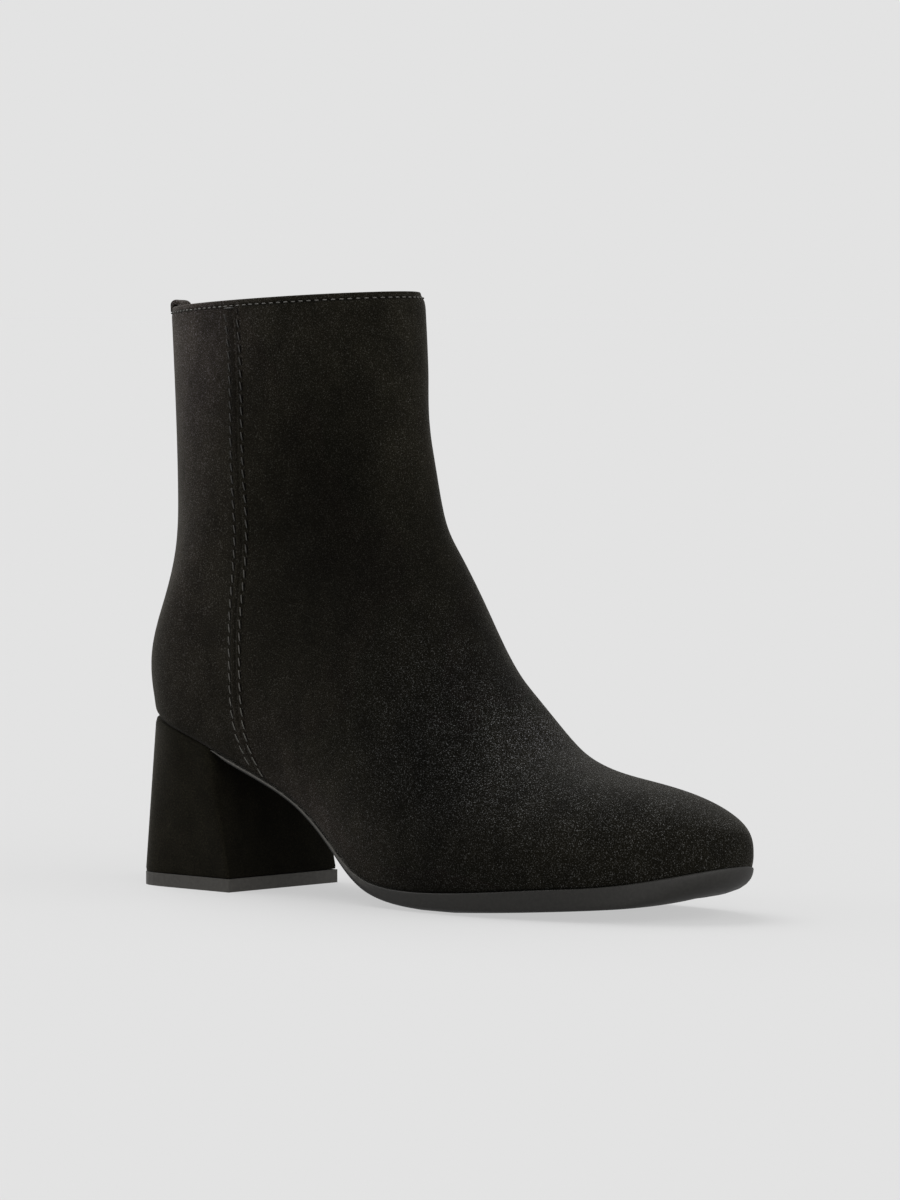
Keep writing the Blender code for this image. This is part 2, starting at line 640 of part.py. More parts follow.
def centre_on_floor(root):
    """Moves the boot so that the middle of its box lies over the origin."""
    bpy.context.view_layer.update()
    shown = [child for child in root.children if not child.hide_render]
    corners = np.array([child.matrix_world @ vertex.co for child in shown for vertex in child.data.vertices])
    middle = (corners.min(axis=0) + corners.max(axis=0)) / 2
    root.location = (-middle[0], -middle[1], -corners[:, 2].min())


def main():
    for old in list(bpy.data.objects):
        bpy.data.objects.remove(old)
    boot = bpy.data.objects.new("boot", None)
    bpy.context.scene.collection.objects.link(boot)
    make_upper(boot)
    make_outsole(boot)
    make_insole(boot)
    make_heel(boot)
    make_collar_lap(boot)
    centre_on_floor(boot)


main()
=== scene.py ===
"""Black suede ankle bootie for the right foot with a covered block heel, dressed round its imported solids.

Sizes are in millimetres, with X counted from the back of the heel seat to the toe, Y to the inner side of the
foot and Z up, and are moved into the frame of the solids when a mesh is made. A span is where a change starts
and where it is complete.
"""

from collections import namedtuple

import bmesh
import bpy
import numpy as np
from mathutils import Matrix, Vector


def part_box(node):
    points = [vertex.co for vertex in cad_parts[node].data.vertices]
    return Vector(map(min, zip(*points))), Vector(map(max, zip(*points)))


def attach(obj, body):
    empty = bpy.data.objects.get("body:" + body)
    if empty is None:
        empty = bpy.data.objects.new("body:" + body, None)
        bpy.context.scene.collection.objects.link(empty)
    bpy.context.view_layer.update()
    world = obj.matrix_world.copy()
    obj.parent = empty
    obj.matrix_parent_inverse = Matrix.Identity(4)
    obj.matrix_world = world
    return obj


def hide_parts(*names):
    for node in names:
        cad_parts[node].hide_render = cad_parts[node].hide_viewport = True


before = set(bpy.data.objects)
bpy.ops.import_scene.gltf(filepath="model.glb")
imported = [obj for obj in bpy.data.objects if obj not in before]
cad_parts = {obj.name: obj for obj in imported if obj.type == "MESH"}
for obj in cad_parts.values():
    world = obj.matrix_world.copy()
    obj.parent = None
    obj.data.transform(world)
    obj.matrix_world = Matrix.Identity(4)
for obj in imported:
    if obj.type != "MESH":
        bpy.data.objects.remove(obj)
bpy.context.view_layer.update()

MM = 0.001
OUTER = -1  # side of the foot that faces away from the other one
INNER = 1
WELD = 0.004  # points closer than this become one

# Sizes of the boot
FOOT_LENGTH = 245.0
BALL_WIDTH = 80.0
HEEL_HEIGHT = 58.0
BOOT_HEIGHT = 203.8
WALL = 2.0
GAP = 0.3
TOE_START = 198.0
TOE_REACH = FOOT_LENGTH - TOE_START
TOE_POWER = 2.4
TOE_TIP_HEIGHT = 0.40  # share of the section's height that is left at the tip
HEEL_START = 28.0
HEEL_POWER = 2.0
TOE_SWING = 8.0
SWING_START = 130.0

# Sections: x as a share of FOOT_LENGTH, half widths as shares of BALL_WIDTH, ridge_z of BOOT_HEIGHT,
# foot_z of HEEL_HEIGHT under the foot and of BOOT_HEIGHT up the back line. rise is the share of the section's
# height at its widest place, and full says how square its top is, 2 being an ellipse.
Section = namedtuple("Section", "foot_x foot_z ridge_x ridge_z outer inner outer_foot inner_foot rise full")
Shape = namedtuple(
    "Shape", "foot_x foot_z wide_x wide_z ridge_x ridge_z outer inner outer_foot inner_foot full"
)
FOOT_SECTIONS = {
    "toe tip": Section(1.000, 0.306, 1.000, 0.180, 0.325, 0.338, 0.319, 0.331, 0.28, 2.50),
    "toe": Section(0.918, 0.221, 0.918, 0.199, 0.413, 0.400, 0.400, 0.394, 0.28, 2.40),
    "toe joint": Section(0.811, 0.176, 0.811, 0.2195, 0.481, 0.456, 0.463, 0.444, 0.28, 2.20),
    "ball": Section(0.705, 0.138, 0.705, 0.2605, 0.519, 0.488, 0.494, 0.475, 0.28, 2.05),
    "ball back": Section(0.607, 0.114, 0.640, 0.336, 0.513, 0.469, 0.481, 0.438, 0.30, 1.95),
    "waist front": Section(0.525, 0.124, 0.5902, 0.406, 0.494, 0.450, 0.444, 0.388, 0.32, 1.95),
    "low waist": Section(0.463, 0.198, 0.5600, 0.467, 0.475, 0.438, 0.413, 0.356, 0.34, 1.95),
    "waist": Section(0.402, 0.397, 0.537, 0.520, 0.456, 0.425, 0.388, 0.344, 0.36, 1.95),
    "high waist": Section(0.336, 0.578, 0.5145, 0.568, 0.444, 0.419, 0.369, 0.338, 0.36, 1.95),
    "shank": Section(0.254, 0.716, 0.4930, 0.617, 0.431, 0.413, 0.356, 0.338, 0.36, 1.95),
    "heel breast": Section(0.172, 0.836, 0.4803, 0.660, 0.425, 0.413, 0.343, 0.338, 0.36, 1.95),
    "heel seat": Section(0.090, 0.940, 0.4727, 0.704, 0.419, 0.406, 0.326, 0.322, 0.365, 1.95),
    "heel back": Section(0.000, 1.003, 0.4648, 0.760, 0.413, 0.400, 0.308, 0.304, 0.38, 1.98),
}
SHAFT_SECTIONS = {
    "counter": Section(-0.007, 0.355, 0.4600, 0.798, 0.406, 0.400, 0.0, 0.0, 0.39, 2.00),
    "counter top": Section(0.0125, 0.433, 0.4560, 0.837, 0.402, 0.400, 0.0, 0.0, 0.42, 2.00),
    "ankle": Section(0.0385, 0.542, 0.4525, 0.882, 0.400, 0.400, 0.0, 0.0, 0.455, 2.00),
    "low shaft": Section(0.0415, 0.650, 0.4493, 0.921, 0.400, 0.400, 0.0, 0.0, 0.48, 2.00),
    "collar": Section(0.0275, 0.9705, 0.4435, 1.000, 0.400, 0.400, 0.0, 0.0, 0.50, 2.00),
}

# Mesh of the upper
TOE_STATIONS = 36
FOOT_STATIONS = 96
HEEL_STATIONS = 26
SHAFT_STATIONS = 84
SHAFT_STEPS = 240  # sections from which the shaft's rows are worked out
SIDE_POINTS = 80
FINE_STEPS = 160
FOOT_SHARE_STEPS = 800
SHARE_STEPS = 900  # places along the whole way for a search
COLLAR_BAND = 6.0  # below the rim, where the rows are closer
COLLAR_ROWS = 14
COLLAR_DEPTHS = np.linspace(COLLAR_BAND, WALL / 2, COLLAR_ROWS)
RIM_STEPS = 7
RIM_IN = 0.35  # how far the outside turns in at the rim, and the depth over which it does
RIM_ROUND = 2.6
TUCK = 1.0  # how far the rim bends in at the front
TUCK_DEPTH = 5.0
TUCK_SPAN = (84.0, 104.0)

# The upper's lower edge rolls in to the sole, more so over the heel
ROLL_REACH = 3.8
ROLL_DEPTH = 0.35
HEEL_ROLL_DEPTH = 1.6
HEEL_ROLL_SPAN = (70.0, 20.0)
EDGE_DROP = 0.25  # how far the edge comes down to meet the sole
EDGE_SHADE = 0.75  # painted shade in the crease above the sole, and how dark it is

# Soft folds of the leather in side view: from one place to another, with half a width and a height
Fold = namedtuple("Fold", "x z to_x to_z width height")
FOLDS = (
    Fold(128.0, 131.0, 84.0, 104.0, 9.0, -0.7),
    Fold(120.0, 150.0, 76.0, 130.0, 10.0, 0.5),
    Fold(62.0, 62.0, 46.0, 96.0, 8.0, -0.5),
    Fold(178.0, 63.0, 150.0, 34.0, 8.0, -0.45),
    Fold(160.0, 76.0, 132.0, 44.0, 9.0, 0.35),
)
FOLD_FADE = 0.6  # share of its height that a fold loses towards its far end
FOLD_SPAN = (4.0, 16.0)  # height over the sole line where the folds begin

# Stitches: start and end as shares of the pitch, top and drop as shares of the radius
Stitch = namedtuple("Stitch", "radius rings start end top drop")
SEAM_STITCH = Stitch(0.23, 9, 0.17, 0.83, 0.85, 1.9)
COLLAR_STITCH = Stitch(0.24, 7, 0.24, 0.76, 0.8, 1.8)
THREAD_SIDES = 7
THREAD_TAPER = (0.18, 0.82)  # part of a half wave that its thickness follows

# Side seams: the route of the middle as a height and an x, two rows of stitches and the groove between panels
Point = namedtuple("Point", "z x")
SEAM_ROUTE = (
    Point(201.0, 57.4),
    Point(178.0, 59.1),
    Point(145.0, 59.9),
    Point(118.0, 61.0),
    Point(97.0, 60.2),
    Point(75.0, 60.0),
    Point(52.0, 61.6),
    Point(41.2, 66.6),
)
SEAM_TOP = 199.2
SEAM_TOP_TILT = 0.05
SEAM_END_TILT = -0.38
SEAM_HALF = 5.0
SEAM_COLUMNS = 41
SEAM_ACROSS = np.linspace(-SEAM_HALF, SEAM_HALF, SEAM_COLUMNS)
SEAM_STEPS = 600
SEAM_ROW_STEP = 0.42
SEAM_RISE = 0.4
SEAM_SINK = 0.12  # how far its edges lie under the upper
SEAM_CLEARANCE = 0.05  # over the sole line
SEAM_SLOPE = (4.4, 2.4)
SEAM_END_FADES = (1.2, 0.8)  # at its top and its lower end
STITCH_PITCH = 4.2
STITCH_SLANT = 0.9
STITCH_FROM = 2.4  # below the seam's top
STITCH_LEAD = 1.0  # how far over that a stitch may start
StitchRow = namedtuple("StitchRow", "across flare phase")
STITCH_ROWS = (StitchRow(-2.5, -1.2, 0.0), StitchRow(2.5, -0.3, 0.5))
FLARE_LENGTH = 7.0
TACK_DOWN = 1.2  # bar tack, below the seam's top
TACK_SPAN = (-3.3, 0.9)
Dent = namedtuple("Dent", "depth width")
# groove between the panels, with painted shade in it
GROOVE = Dent(0.55, 0.5)
GROOVE_AT = 0.6
ROW_DENT = Dent(0.13, 0.7)
PILLOW = Dent(-0.10, 0.6)  # suede that swells beside a stitch
PILLOW_ASIDE = 1.0
PIT = Dent(0.45, 0.6)  # hole between stitches, with painted shade in it
PIT_LENGTH = 0.7
FURROW = Dent(0.12, 0.42)  # furrow beside a row of thread, with a painted shadow in it
FURROW_ASIDE = 0.5
BETWEEN_SHADE = 0.45  # painted shade between the rows, and the share of it that is lost further down
BETWEEN_SPAN = (2.6, 1.6)
BETWEEN_SHADE_LOSS = 0.6
BETWEEN_SHADE_LOSS_SPAN = (26.0, 86.0)
RIDGE_LIGHT = 0.5  # painted highlight: how much lighter the edges beside the groove are made, further down
RIDGE_LIGHT_SPAN = (26.0, 60.0)
RIDGE_LIGHT_ASIDE = 1.6
RIDGE_LIGHT_WIDTH = 1.0
THREAD_HIGHLIGHT = 2.2  # painted highlight: how much lighter the thread is made towards the heel
THREAD_HIGHLIGHT_SPAN = (150.0, 60.0)

# Stitch row round the collar
COLLAR_STITCH_DEPTH = 2.1
COLLAR_STITCH_PITCH = 2.8
COLLAR_STITCH_SINK = 0.12
# painted highlight on the collar's thread, how much lighter it is made
COLLAR_THREAD_HIGHLIGHT = 1.6
COLLAR_FURROW = Dent(0.2, 0.5)
COLLAR_SHADE = Dent(0.85, 0.4)  # painted shade in that furrow, and how dark it is

# Outsole
SOLE_REAR = 43.2
SOLE_MARGIN = 0.6
SOLE_TOP_GAP = 0.05  # under the upper's edge
FLAT_START = 145.0
FLAT_END = 160.0
TOE_SPRING = 5.5
SPRING_POWER = 1.05
TIP_ROLL = 1.9
TIP_POWER = 11.0
INNER_ROLL = 2.2  # more roll at the inner side of the toe
INNER_ROLL_SPAN = (200.0, 238.0)
INNER_ROLL_WIDTH = 14.0
SQUARE_SPAN = (150.0, 192.0)  # where the rounded edge of the ball turns square towards the toe
TIP_SPAN = (220.0, FOOT_LENGTH)  # where the square edge turns round again for the tip
Thickness = namedtuple("Thickness", "x depth")
WAIST_THICKNESS = (
    Thickness(SOLE_REAR, 1.1),
    Thickness(85.0, 1.15),
    Thickness(105.0, 2.1),
    Thickness(121.0, 4.4),
    Thickness(131.0, 5.4),
)
EdgeRow = namedtuple("EdgeRow", "inset ball side tip")  # shares of the edge's height along the sole
SOLE_EDGE = (
    EdgeRow(1.4, 1.0, 1.0, 1.0),
    EdgeRow(0.45, 1.0, 1.0, 1.0),
    EdgeRow(0.18, 0.985, 0.985, 0.985),
    EdgeRow(0.04, 0.955, 0.955, 0.96),
    EdgeRow(0.0, 0.91, 0.91, 0.92),
    EdgeRow(0.05, 0.70, 0.62, 0.80),
    EdgeRow(0.15, 0.48, 0.36, 0.68),
    EdgeRow(0.3, 0.39, 0.26, 0.57),
    EdgeRow(0.5, 0.32, 0.18, 0.47),
    EdgeRow(0.9, 0.26, 0.12, 0.33),
    EdgeRow(1.6, 0.20, 0.08, 0.18),
    EdgeRow(3.6, 0.14, 0.05, 0.05),
    EdgeRow(8.0, 0.06, 0.02, 0.01),
)
TIP_SPREAD = 2.4  # how much further in the rounded tip reaches, for rows up to TIP_ROUND in
TIP_ROUND = 2.6
TIP_TRIM = 0.4  # how much less the sole stands out at the tip
SOLE_STATIONS = (40, 110)  # round the toe, and from the toe to the heel's breast
SOLE_COLUMNS = 40
SOLE_FADE = 9.0  # length over which the edge thins out towards the heel
SOLE_FADE_SHARE = 0.3
WAIST_LIGHT_SPAN = (132.0, 100.0)  # the waist's edge gets a painted highlight above and painted shade below
WAIST_HIGHLIGHT = 4.0
WAIST_SHADE = -0.85
WAIST_LIGHT_LEVELS = (0.75, 0.5)
TREAD_REACH = 12.0  # from the edge in to where the tread is flat
RIB_PITCH = 2.2
RIB_DEPTH = 0.5
RIB_SIDES = (0.3, 0.7)  # shares of the wave from a groove up to a rib
RIB_SPAN = (118.0, 130.0)
RIB_MARGIN = 4.0

# Heel block
LIFT_HEIGHT = 4.8
HEEL_FRONT = 42.3
HEEL_SEAT_INSET = -0.4
LIFT_FRONT = 51.5
LIFT_BACK = 3.1
LIFT_ROUND_START = 30.0
LIFT_POWER = 5.0
LIFT_FRONT_HALF = 27.0
LIFT_BACK_HALF = 24.4
LIFT_CENTRE_Y = -0.5
HEEL_RUN_STEPS = (40, 200)  # along its straight side and round its back
HEEL_SIDE_POINTS = 72
HEEL_BREAST_POINTS = 60
HEEL_LEVELS = 36
HEEL_FOOT_LEVELS = (0.992, 0.998, 1.0)
HEEL_FOOT_SPAN = (0.98, 1.0)  # shares of its height over which its lower and upper edges are drawn in
HEEL_SEAT_SPAN = (0.01, 0.0)
HEEL_FOOT_DRAWN = 0.2
HEEL_SEAT_DRAWN = 0.3
HEEL_CORNER_PASSES = (20, 2)  # how far its front edges are rounded, above and below
HEEL_CORNER_REACH = 8
HEEL_BACK_LIGHT = 0.45  # painted light: how much lighter the suede is made round its back
HEEL_BACK_LIGHT_REACH = 30.0  # in points of a side
BREAST_SHADE = -0.4  # painted shade: how much darker the foot of its breast is

# Insole
INSOLE_THICKNESS = 2.5
INSOLE_CLEARANCE = 0.7
INSOLE_COLUMNS = 20
INSOLE_STATIONS = (30, 90)
INSOLE_EDGE = 1.2
INSOLE_PROFILE = ((0.0, 0.0), (0.0, 0.55), (0.12, 0.85), (0.45, 1.0))  # shares of its edge and thickness
INSOLE_HOLLOW = 0.5

# Doubled end of the collar's edge tape
LAP_ENDS_Y = (-12.5, -2.3)
LAP_STATIONS = 15
LAP_RIM_POINTS = 200
LAP_ARCH_STEPS = 13
LAP_LEG = 1.6
LAP_LEG_THICKNESS = 0.6
LAP_LEG_STEP = 0.2  # how much shorter its outer layer is
LAP_RISE = 2.9
LAP_GAP = 0.4
LAP_INNER_GAP = 0.08
LAP_LEAN_SHARE = 0.98
LAP_TAPER = 0.12
LAP_TAPER_POWER = 8

# How the nap lies, as painted light and shade: soft places brushed lighter or darker, and fibres standing up
# as specks with painted glints
Spot = namedtuple("Spot", "x z reach_x reach_z change")
NAP_LIGHT_AND_SHADE = {
    "front of the ankle": Spot(105.0, 130.0, 35.0, 50.0, -0.55),
    "back of the collar": Spot(15.0, 195.0, 60.0, 30.0, 1.8),
    "back of the shaft": Spot(30.0, 130.0, 28.0, 75.0, 1.7),
    "top of the vamp": Spot(170.0, 65.0, 12.0, 10.0, 1.2),
    "ridge of the vamp": Spot(173.0, 85.0, 10.0, 33.0, 1.8),
    "instep": Spot(135.0, 145.0, 27.0, 20.0, 1.6),
    "waist": Spot(105.0, 20.0, 60.0, 18.0, 1.45),
    "quarter": Spot(80.0, 45.0, 28.0, 30.0, 0.9),
    "ball": Spot(155.0, 25.0, 30.0, 80.0, -0.55),
    "front of the collar": Spot(113.0, 195.0, 4.0, 40.0, 0.6),
}
GLINT_SPAN = (95.0, 170.0)  # painted glints grow along the foot, towards the toe, where the light falls
GLINT_HEIGHTS = (120.0, 62.0)  # down the foot
GLINT_LEAST = 0.15
GLINT_SHADE = 0.65  # share of the painted glints lost towards the sole, as painted shade
GLINT_SHADE_SPAN = (46.0, 20.0)

# Tones of the materials against their own recipe, and tints
UPPER_TONE = 1.24
# the heel's suede is a lighter copy of the upper's, toned to the light on the heel: painted light
HEEL_LIT_TONE = 1.35
SOLE_TONE = 1.0
LIFT_TONE = 3.1
SUEDE_TINT = (1.0, 0.89, 0.58)
SHEEN_TINT = (1.0, 0.95, 0.85)
RUBBER_TINT = (1.0, 0.95, 0.85)
THREAD_TINT = (1.0, 0.95, 0.82)
FIBRE_TINT = (1.0, 0.98, 0.93)
GLINT_TINT = (0.98, 1.0, 1.0)

# Camera and soft lights without falloff, their bearing counted from the camera's own side to its right
CAMERA_AT = (1588.1, -1622.0, 200.0)
CAMERA_TURN = 42.0
CAMERA_PITCH = 2.605
CAMERA_LENS = 196.47
CAMERA_SENSOR = 36.0
CAMERA_REACH = 200.0  # in metres, as is the floor
FLOOR_HALF = 60.0
FLOOR_ALBEDO = 0.11
BACKDROP = 0.768  # linear value of the photograph's ground
Light = namedtuple("Light", "name bearing height power spread")
LIGHTS = (
    Light("back_light", -140.0, 55.0, 4.4, 50.0),
    Light("right_light", 60.0, 30.0, 1.55, 50.0),
    Light("front_light", 20.0, 20.0, 1.55, 50.0),
)


def solid_origin():
    """Where the solids' origin lies in millimetres, from the outsole's rear and the lift's middle."""
    low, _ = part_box("outsole")
    lift_low, lift_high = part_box("top_lift")
    return np.array([SOLE_REAR - low[0] / MM, LIFT_CENTRE_Y - (lift_low[1] + lift_high[1]) / 2 / MM, 0.0])


ORIGIN = solid_origin()


# Lines and curves


def part_way(value, start, end):
    """Share of the way from the start to the end, which may lie either way, kept between 0 and 1."""
    return np.clip((np.asarray(value, float) - start) / (end - start), 0.0, 1.0)


def fade_in(value, start, end):
    """Smooth change from 0 at the start to 1 at the end."""
    into = part_way(value, start, end)
    return into * into * (3.0 - 2.0 * into)


def bell(value, width):
    return np.exp(-((value / width) ** 2))


def unit(vectors):
    return vectors / np.maximum(np.linalg.norm(vectors, axis=-1, keepdims=True), 1e-9)


def way_along(line):
    """Length along a line up to each of its points."""
    return np.concatenate([[0.0], np.cumsum(np.linalg.norm(np.diff(line, axis=0), axis=1))])


def points_at(at, along, line):
    """Points at places along a line whose own points lie at the given ones."""
    return np.stack([np.interp(at, along, column) for column in line.T], axis=-1)


def even_points(line, count):
    """The line's points spaced evenly along its length."""
    along = way_along(line)
    return points_at(np.linspace(0.0, along[-1], count), along, line)


def natural_spline(knots, values):
    """Natural cubic spline through the values, as a function of numbers or arrays."""
    knots, values = np.asarray(knots, float), np.asarray(values, float)
    count, step = len(knots), np.diff(knots)
    matrix, right = np.eye(count), np.zeros(count)
    for i in range(1, count - 1):
        matrix[i, i - 1 : i + 2] = step[i - 1], 2 * (step[i - 1] + step[i]), step[i]
        right[i] = 6 * ((values[i + 1] - values[i]) / step[i] - (values[i] - values[i - 1]) / step[i - 1])
    bend = np.linalg.solve(matrix, right)

    def curve(x):
        i = np.clip(np.searchsorted(knots, x) - 1, 0, count - 2)
        h, a, b = step[i], knots[i + 1] - x, x - knots[i]
        cubic = (bend[i] * a**3 + bend[i + 1] * b**3) / (6 * h)
        return cubic + (values[i] / h - bend[i] * h / 6) * a + (values[i + 1] / h - bend[i + 1] * h / 6) * b

    return curve


def cornered_spline(knots, values, corner):
    """Two splines that meet in a corner at the knot with the given index."""
    before = natural_spline(knots[: corner + 1], values[: corner + 1])
    after = natural_spline(knots[corner:], values[corner:])
    return lambda x: np.where(x <= knots[corner], before(x), after(x))


# Sections of the upper


def section_shapes():
    """All sections in millimetres, from the toe tip to the collar, each with the place where it is widest."""
    for group, foot_height in ((FOOT_SECTIONS, HEEL_HEIGHT), (SHAFT_SECTIONS, BOOT_HEIGHT)):
        for row in group.values():
            foot = np.array([row.foot_x * FOOT_LENGTH, row.foot_z * foot_height])
            ridge = np.array([row.ridge_x * FOOT_LENGTH, row.ridge_z * BOOT_HEIGHT])
            wide = foot + row.rise * (ridge - foot)
            halves = [share * BALL_WIDTH for share in (row.outer, row.inner, row.outer_foot, row.inner_foot)]
            yield Shape(*foot, *wide, *ridge, *halves, row.full)


def section_line(section):
    """Foot, widest place and ridge of a section in side view."""
    foot = np.array([section.foot_x, section.foot_z])
    wide = np.array([section.wide_x, section.wide_z])
    ridge = np.array([section.ridge_x, section.ridge_z])
    return foot, wide, ridge


def section_curves():
    """Splines of a section's values over the share of the way from toe to collar, and the heel's share."""
    columns = Shape(*np.array(list(section_shapes())).T)
    foot, _, ridge = section_line(columns)
    knots = way_along(foot.T) + way_along(ridge.T)
    knots /= knots[-1]
    heel = len(FOOT_SECTIONS) - 1
    curves = {}
    for name, column in columns._asdict().items():
        cornered = "foot" in name
        curves[name] = cornered_spline(knots, column, heel) if cornered else natural_spline(knots, column)
    return Shape(**curves), knots[heel]


CURVES, HEEL_SHARE = section_curves()
FOOT_SHARES = np.linspace(0.0, HEEL_SHARE, FOOT_SHARE_STEPS)
FOOT_XS = CURVES.foot_x(FOOT_SHARES)


def share_at(x):
    """Share of the way at which the sole line passes x."""
    return np.interp(-np.asarray(x, float), -FOOT_XS, FOOT_SHARES)


def rounding(distance, reach, power):
    """Share of a width that is left at a distance into a rounded end."""
    into = part_way(distance, 0.0, reach)
    return (1.0 - into**power) ** (1.0 / power)


def toe_rounding(x):
    return rounding(x - TOE_START, TOE_REACH, TOE_POWER)


def heel_rounding(x):
    return rounding(HEEL_START - x, HEEL_START, HEEL_POWER)


def swing(x):
    """Offset of the foot's middle line to the inner side."""
    return TOE_SWING * part_way(x, SWING_START, FOOT_LENGTH) ** 2


def shaped_section(share):
    """The section at a share of the way, with the roundings of toe and heel in it."""
    raw = Shape(*(float(curve(share)) for curve in CURVES))
    toe = float(toe_rounding(raw.foot_x))
    heel = float(heel_rounding(raw.foot_x)) if share < HEEL_SHARE else 0.0
    foot, *raised = section_line(raw)
    height = TOE_TIP_HEIGHT + (1.0 - TOE_TIP_HEIGHT) * toe
    wide, ridge = (foot + (place - foot) * height for place in raised)
    halves = raw.outer * toe, raw.inner * toe, raw.outer_foot * toe * heel, raw.inner_foot * toe * heel
    return Shape(*foot, *wide, *ridge, *halves, raw.full)


def half_widths(section, side):
    """Half width of a section at its widest place and at its foot, on one side."""
    if side == OUTER:
        return section.outer, section.outer_foot
    return section.inner, section.inner_foot


def lower_half(into, width, foot_width):
    """Half width at a share of the way from the widest place down: an ellipse that the foot cuts."""
    cut = np.sqrt(np.clip(1.0 - (foot_width / np.maximum(width, 1e-6)) ** 2, 0.0, 1.0))
    return width * np.sqrt(1.0 - (into * cut) ** 2)


def upper_half(into, width, full):
    """Half width at a share of the way from the widest place up to the ridge: a superellipse."""
    return width * (1.0 - into**full) ** (1.0 / full)


def section_side(section, side, count):
    """Points of one side of a section, from the sole or back line up to the ridge."""
    foot, wide, ridge = section_line(section)
    width, foot_width = half_widths(section, side)
    turn = np.linspace(0.0, np.pi / 2, FINE_STEPS)
    down, up = np.cos(turn), np.sin(turn[1:])
    plane = np.concatenate([wide + down[:, None] * (foot - wide), wide + up[:, None] * (ridge - wide)])
    half = np.concatenate([lower_half(down, width, foot_width), upper_half(up, width, section.full)])
    line = np.column_stack([plane[:, 0], side * half + swing(plane[:, 0]), plane[:, 1]])
    return even_points(line, count)


def section_row(share):
    """Points of a whole section, from the outer sole line over the ridge to the inner."""
    section = shaped_section(share)
    outer, inner = (section_side(section, side, SIDE_POINTS + 1) for side in (OUTER, INNER))
    return np.concatenate([outer, inner[-2::-1]])


def side_points(x, z, side):
    """Points of the upper's outside at places in side view."""
    shares = np.linspace(0.0, 1.0, SHARE_STEPS)
    raw = Shape(*(curve(shares) for curve in CURVES))
    toe = toe_rounding(raw.foot_x)
    heel = np.where(shares < HEEL_SHARE, heel_rounding(raw.foot_x), 0.0)
    foot, wide, ridge = (points.T for points in section_line(raw))
    width, foot_width = half_widths(raw, side)
    width, foot_width = width * toe, foot_width * toe * heel
    made = []
    for place in np.column_stack([x, z]):
        low = ((place - wide) * (foot - wide)).sum(axis=1) > 0.0
        along = np.where(low[:, None], wide - foot, ridge - wide)
        past = along[:, 0] * (place[1] - wide[:, 1]) - along[:, 1] * (place[0] - wide[:, 0])
        k = np.nonzero((past[:-1] > 0) != (past[1:] > 0))[0][-1]
        part = past[k] / (past[k] - past[k + 1])
        lines = (foot if low[k] else ridge, wide, width, foot_width, raw.full)
        end, middle, broad, narrow, full = (line[k] + part * (line[k + 1] - line[k]) for line in lines)
        into = part_way(np.dot(place - middle, end - middle), 0.0, np.dot(end - middle, end - middle))
        half = lower_half(into, broad, narrow) if low[k] else upper_half(into, broad, full)
        made.append((place[0], side * float(half) + float(swing(place[0])), place[1]))
    return np.array(made)


def fold_height(points):
    """How far the soft folds lift the upper at points of its outside."""
    total = np.zeros(points.shape[:-1])
    for fold in FOLDS:
        run = np.array([fold.to_x - fold.x, fold.to_z - fold.z])
        apart = points[..., (0, 2)] - (fold.x, fold.z)
        along = part_way(apart @ run, 0.0, run @ run)
        away = np.linalg.norm(apart - along[..., None] * run, axis=-1)
        total += fold.height * bell(away, fold.width) * (1.0 - FOLD_FADE * along)
    return total


def edge_roll(points):
    """How far the upper's outside is drawn in: towards its lower edge, and in its soft folds."""
    above = points[..., 2] - CURVES.foot_z(share_at(points[..., 0]))
    depth = ROLL_DEPTH + (HEEL_ROLL_DEPTH - ROLL_DEPTH) * fade_in(points[..., 0], *HEEL_ROLL_SPAN)
    rolled = depth * part_way(above, ROLL_REACH, 0.0) ** 2
    return rolled - fade_in(above, *FOLD_SPAN) * fold_height(points)


# Meshes


def paint(mesh, name, values):
    """Keeps a value for each point of a mesh, for its material to read."""
    layer = mesh.attributes.new(name, "FLOAT", "POINT")
    layer.data.foreach_set("value", np.asarray(values, np.float32))


def add_to_scene(name, data):
    made = bpy.data.objects.new(name, data)
    bpy.context.scene.collection.objects.link(made)
    return made


def add_object(name, points, faces, finishes, slot, replaced=(), finish_of=None, painted=()):
    """A mesh object from points in millimetres, welded, riding on the boot's one body."""
    mesh = bpy.data.meshes.new(name)
    mesh.from_pydata((MM * (points - ORIGIN)).tolist(), [], faces)
    for finish in finishes:
        mesh.materials.append(finish)
    if finish_of is not None:
        mesh.polygons.foreach_set("material_index", np.asarray(finish_of, np.int32))
    for layer, values in painted:
        paint(mesh, layer, values)
    work = bmesh.new()
    work.from_mesh(mesh)
    bmesh.ops.remove_doubles(work, verts=work.verts, dist=MM * WELD)
    bmesh.ops.recalc_face_normals(work, faces=work.faces)
    work.to_mesh(mesh)
    work.free()
    mesh.shade_smooth()
    made = add_to_scene(name, mesh)
    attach(made, "root")
    if replaced:
        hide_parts(*replaced)
    return made


def grid_faces(rows, columns, offset=0, closed=False):
    """Quads between neighbouring rows of a grid of points."""
    last = columns if closed else columns - 1
    made = []
    for i in range(rows - 1):
        for j in range(last):
            a, b = offset + i * columns + j, offset + i * columns + (j + 1) % columns
            made.append((a, b, b + columns, a + columns))
    return made


def ladder_faces(first, second):
    """Faces across a sheet between two edges with the same count of points, which may share an end."""
    quads = [(first[k], first[k + 1], second[k + 1], second[k]) for k in range(len(first) - 1)]
    return [tuple(dict.fromkeys(quad)) for quad in quads]


def slab(rings, sheets, closed=False):
    """Points and faces of a slab: the rings of its edge, then its two sheets."""
    count, (rows, columns) = rings.shape[1], sheets[0].shape[:2]
    faces = grid_faces(len(rings), count, closed=closed)
    for k in range(len(sheets)):
        faces += grid_faces(rows, columns, len(rings) * count + k * rows * columns)
    return np.concatenate([part.reshape(-1, 3) for part in (rings, *sheets)]), faces


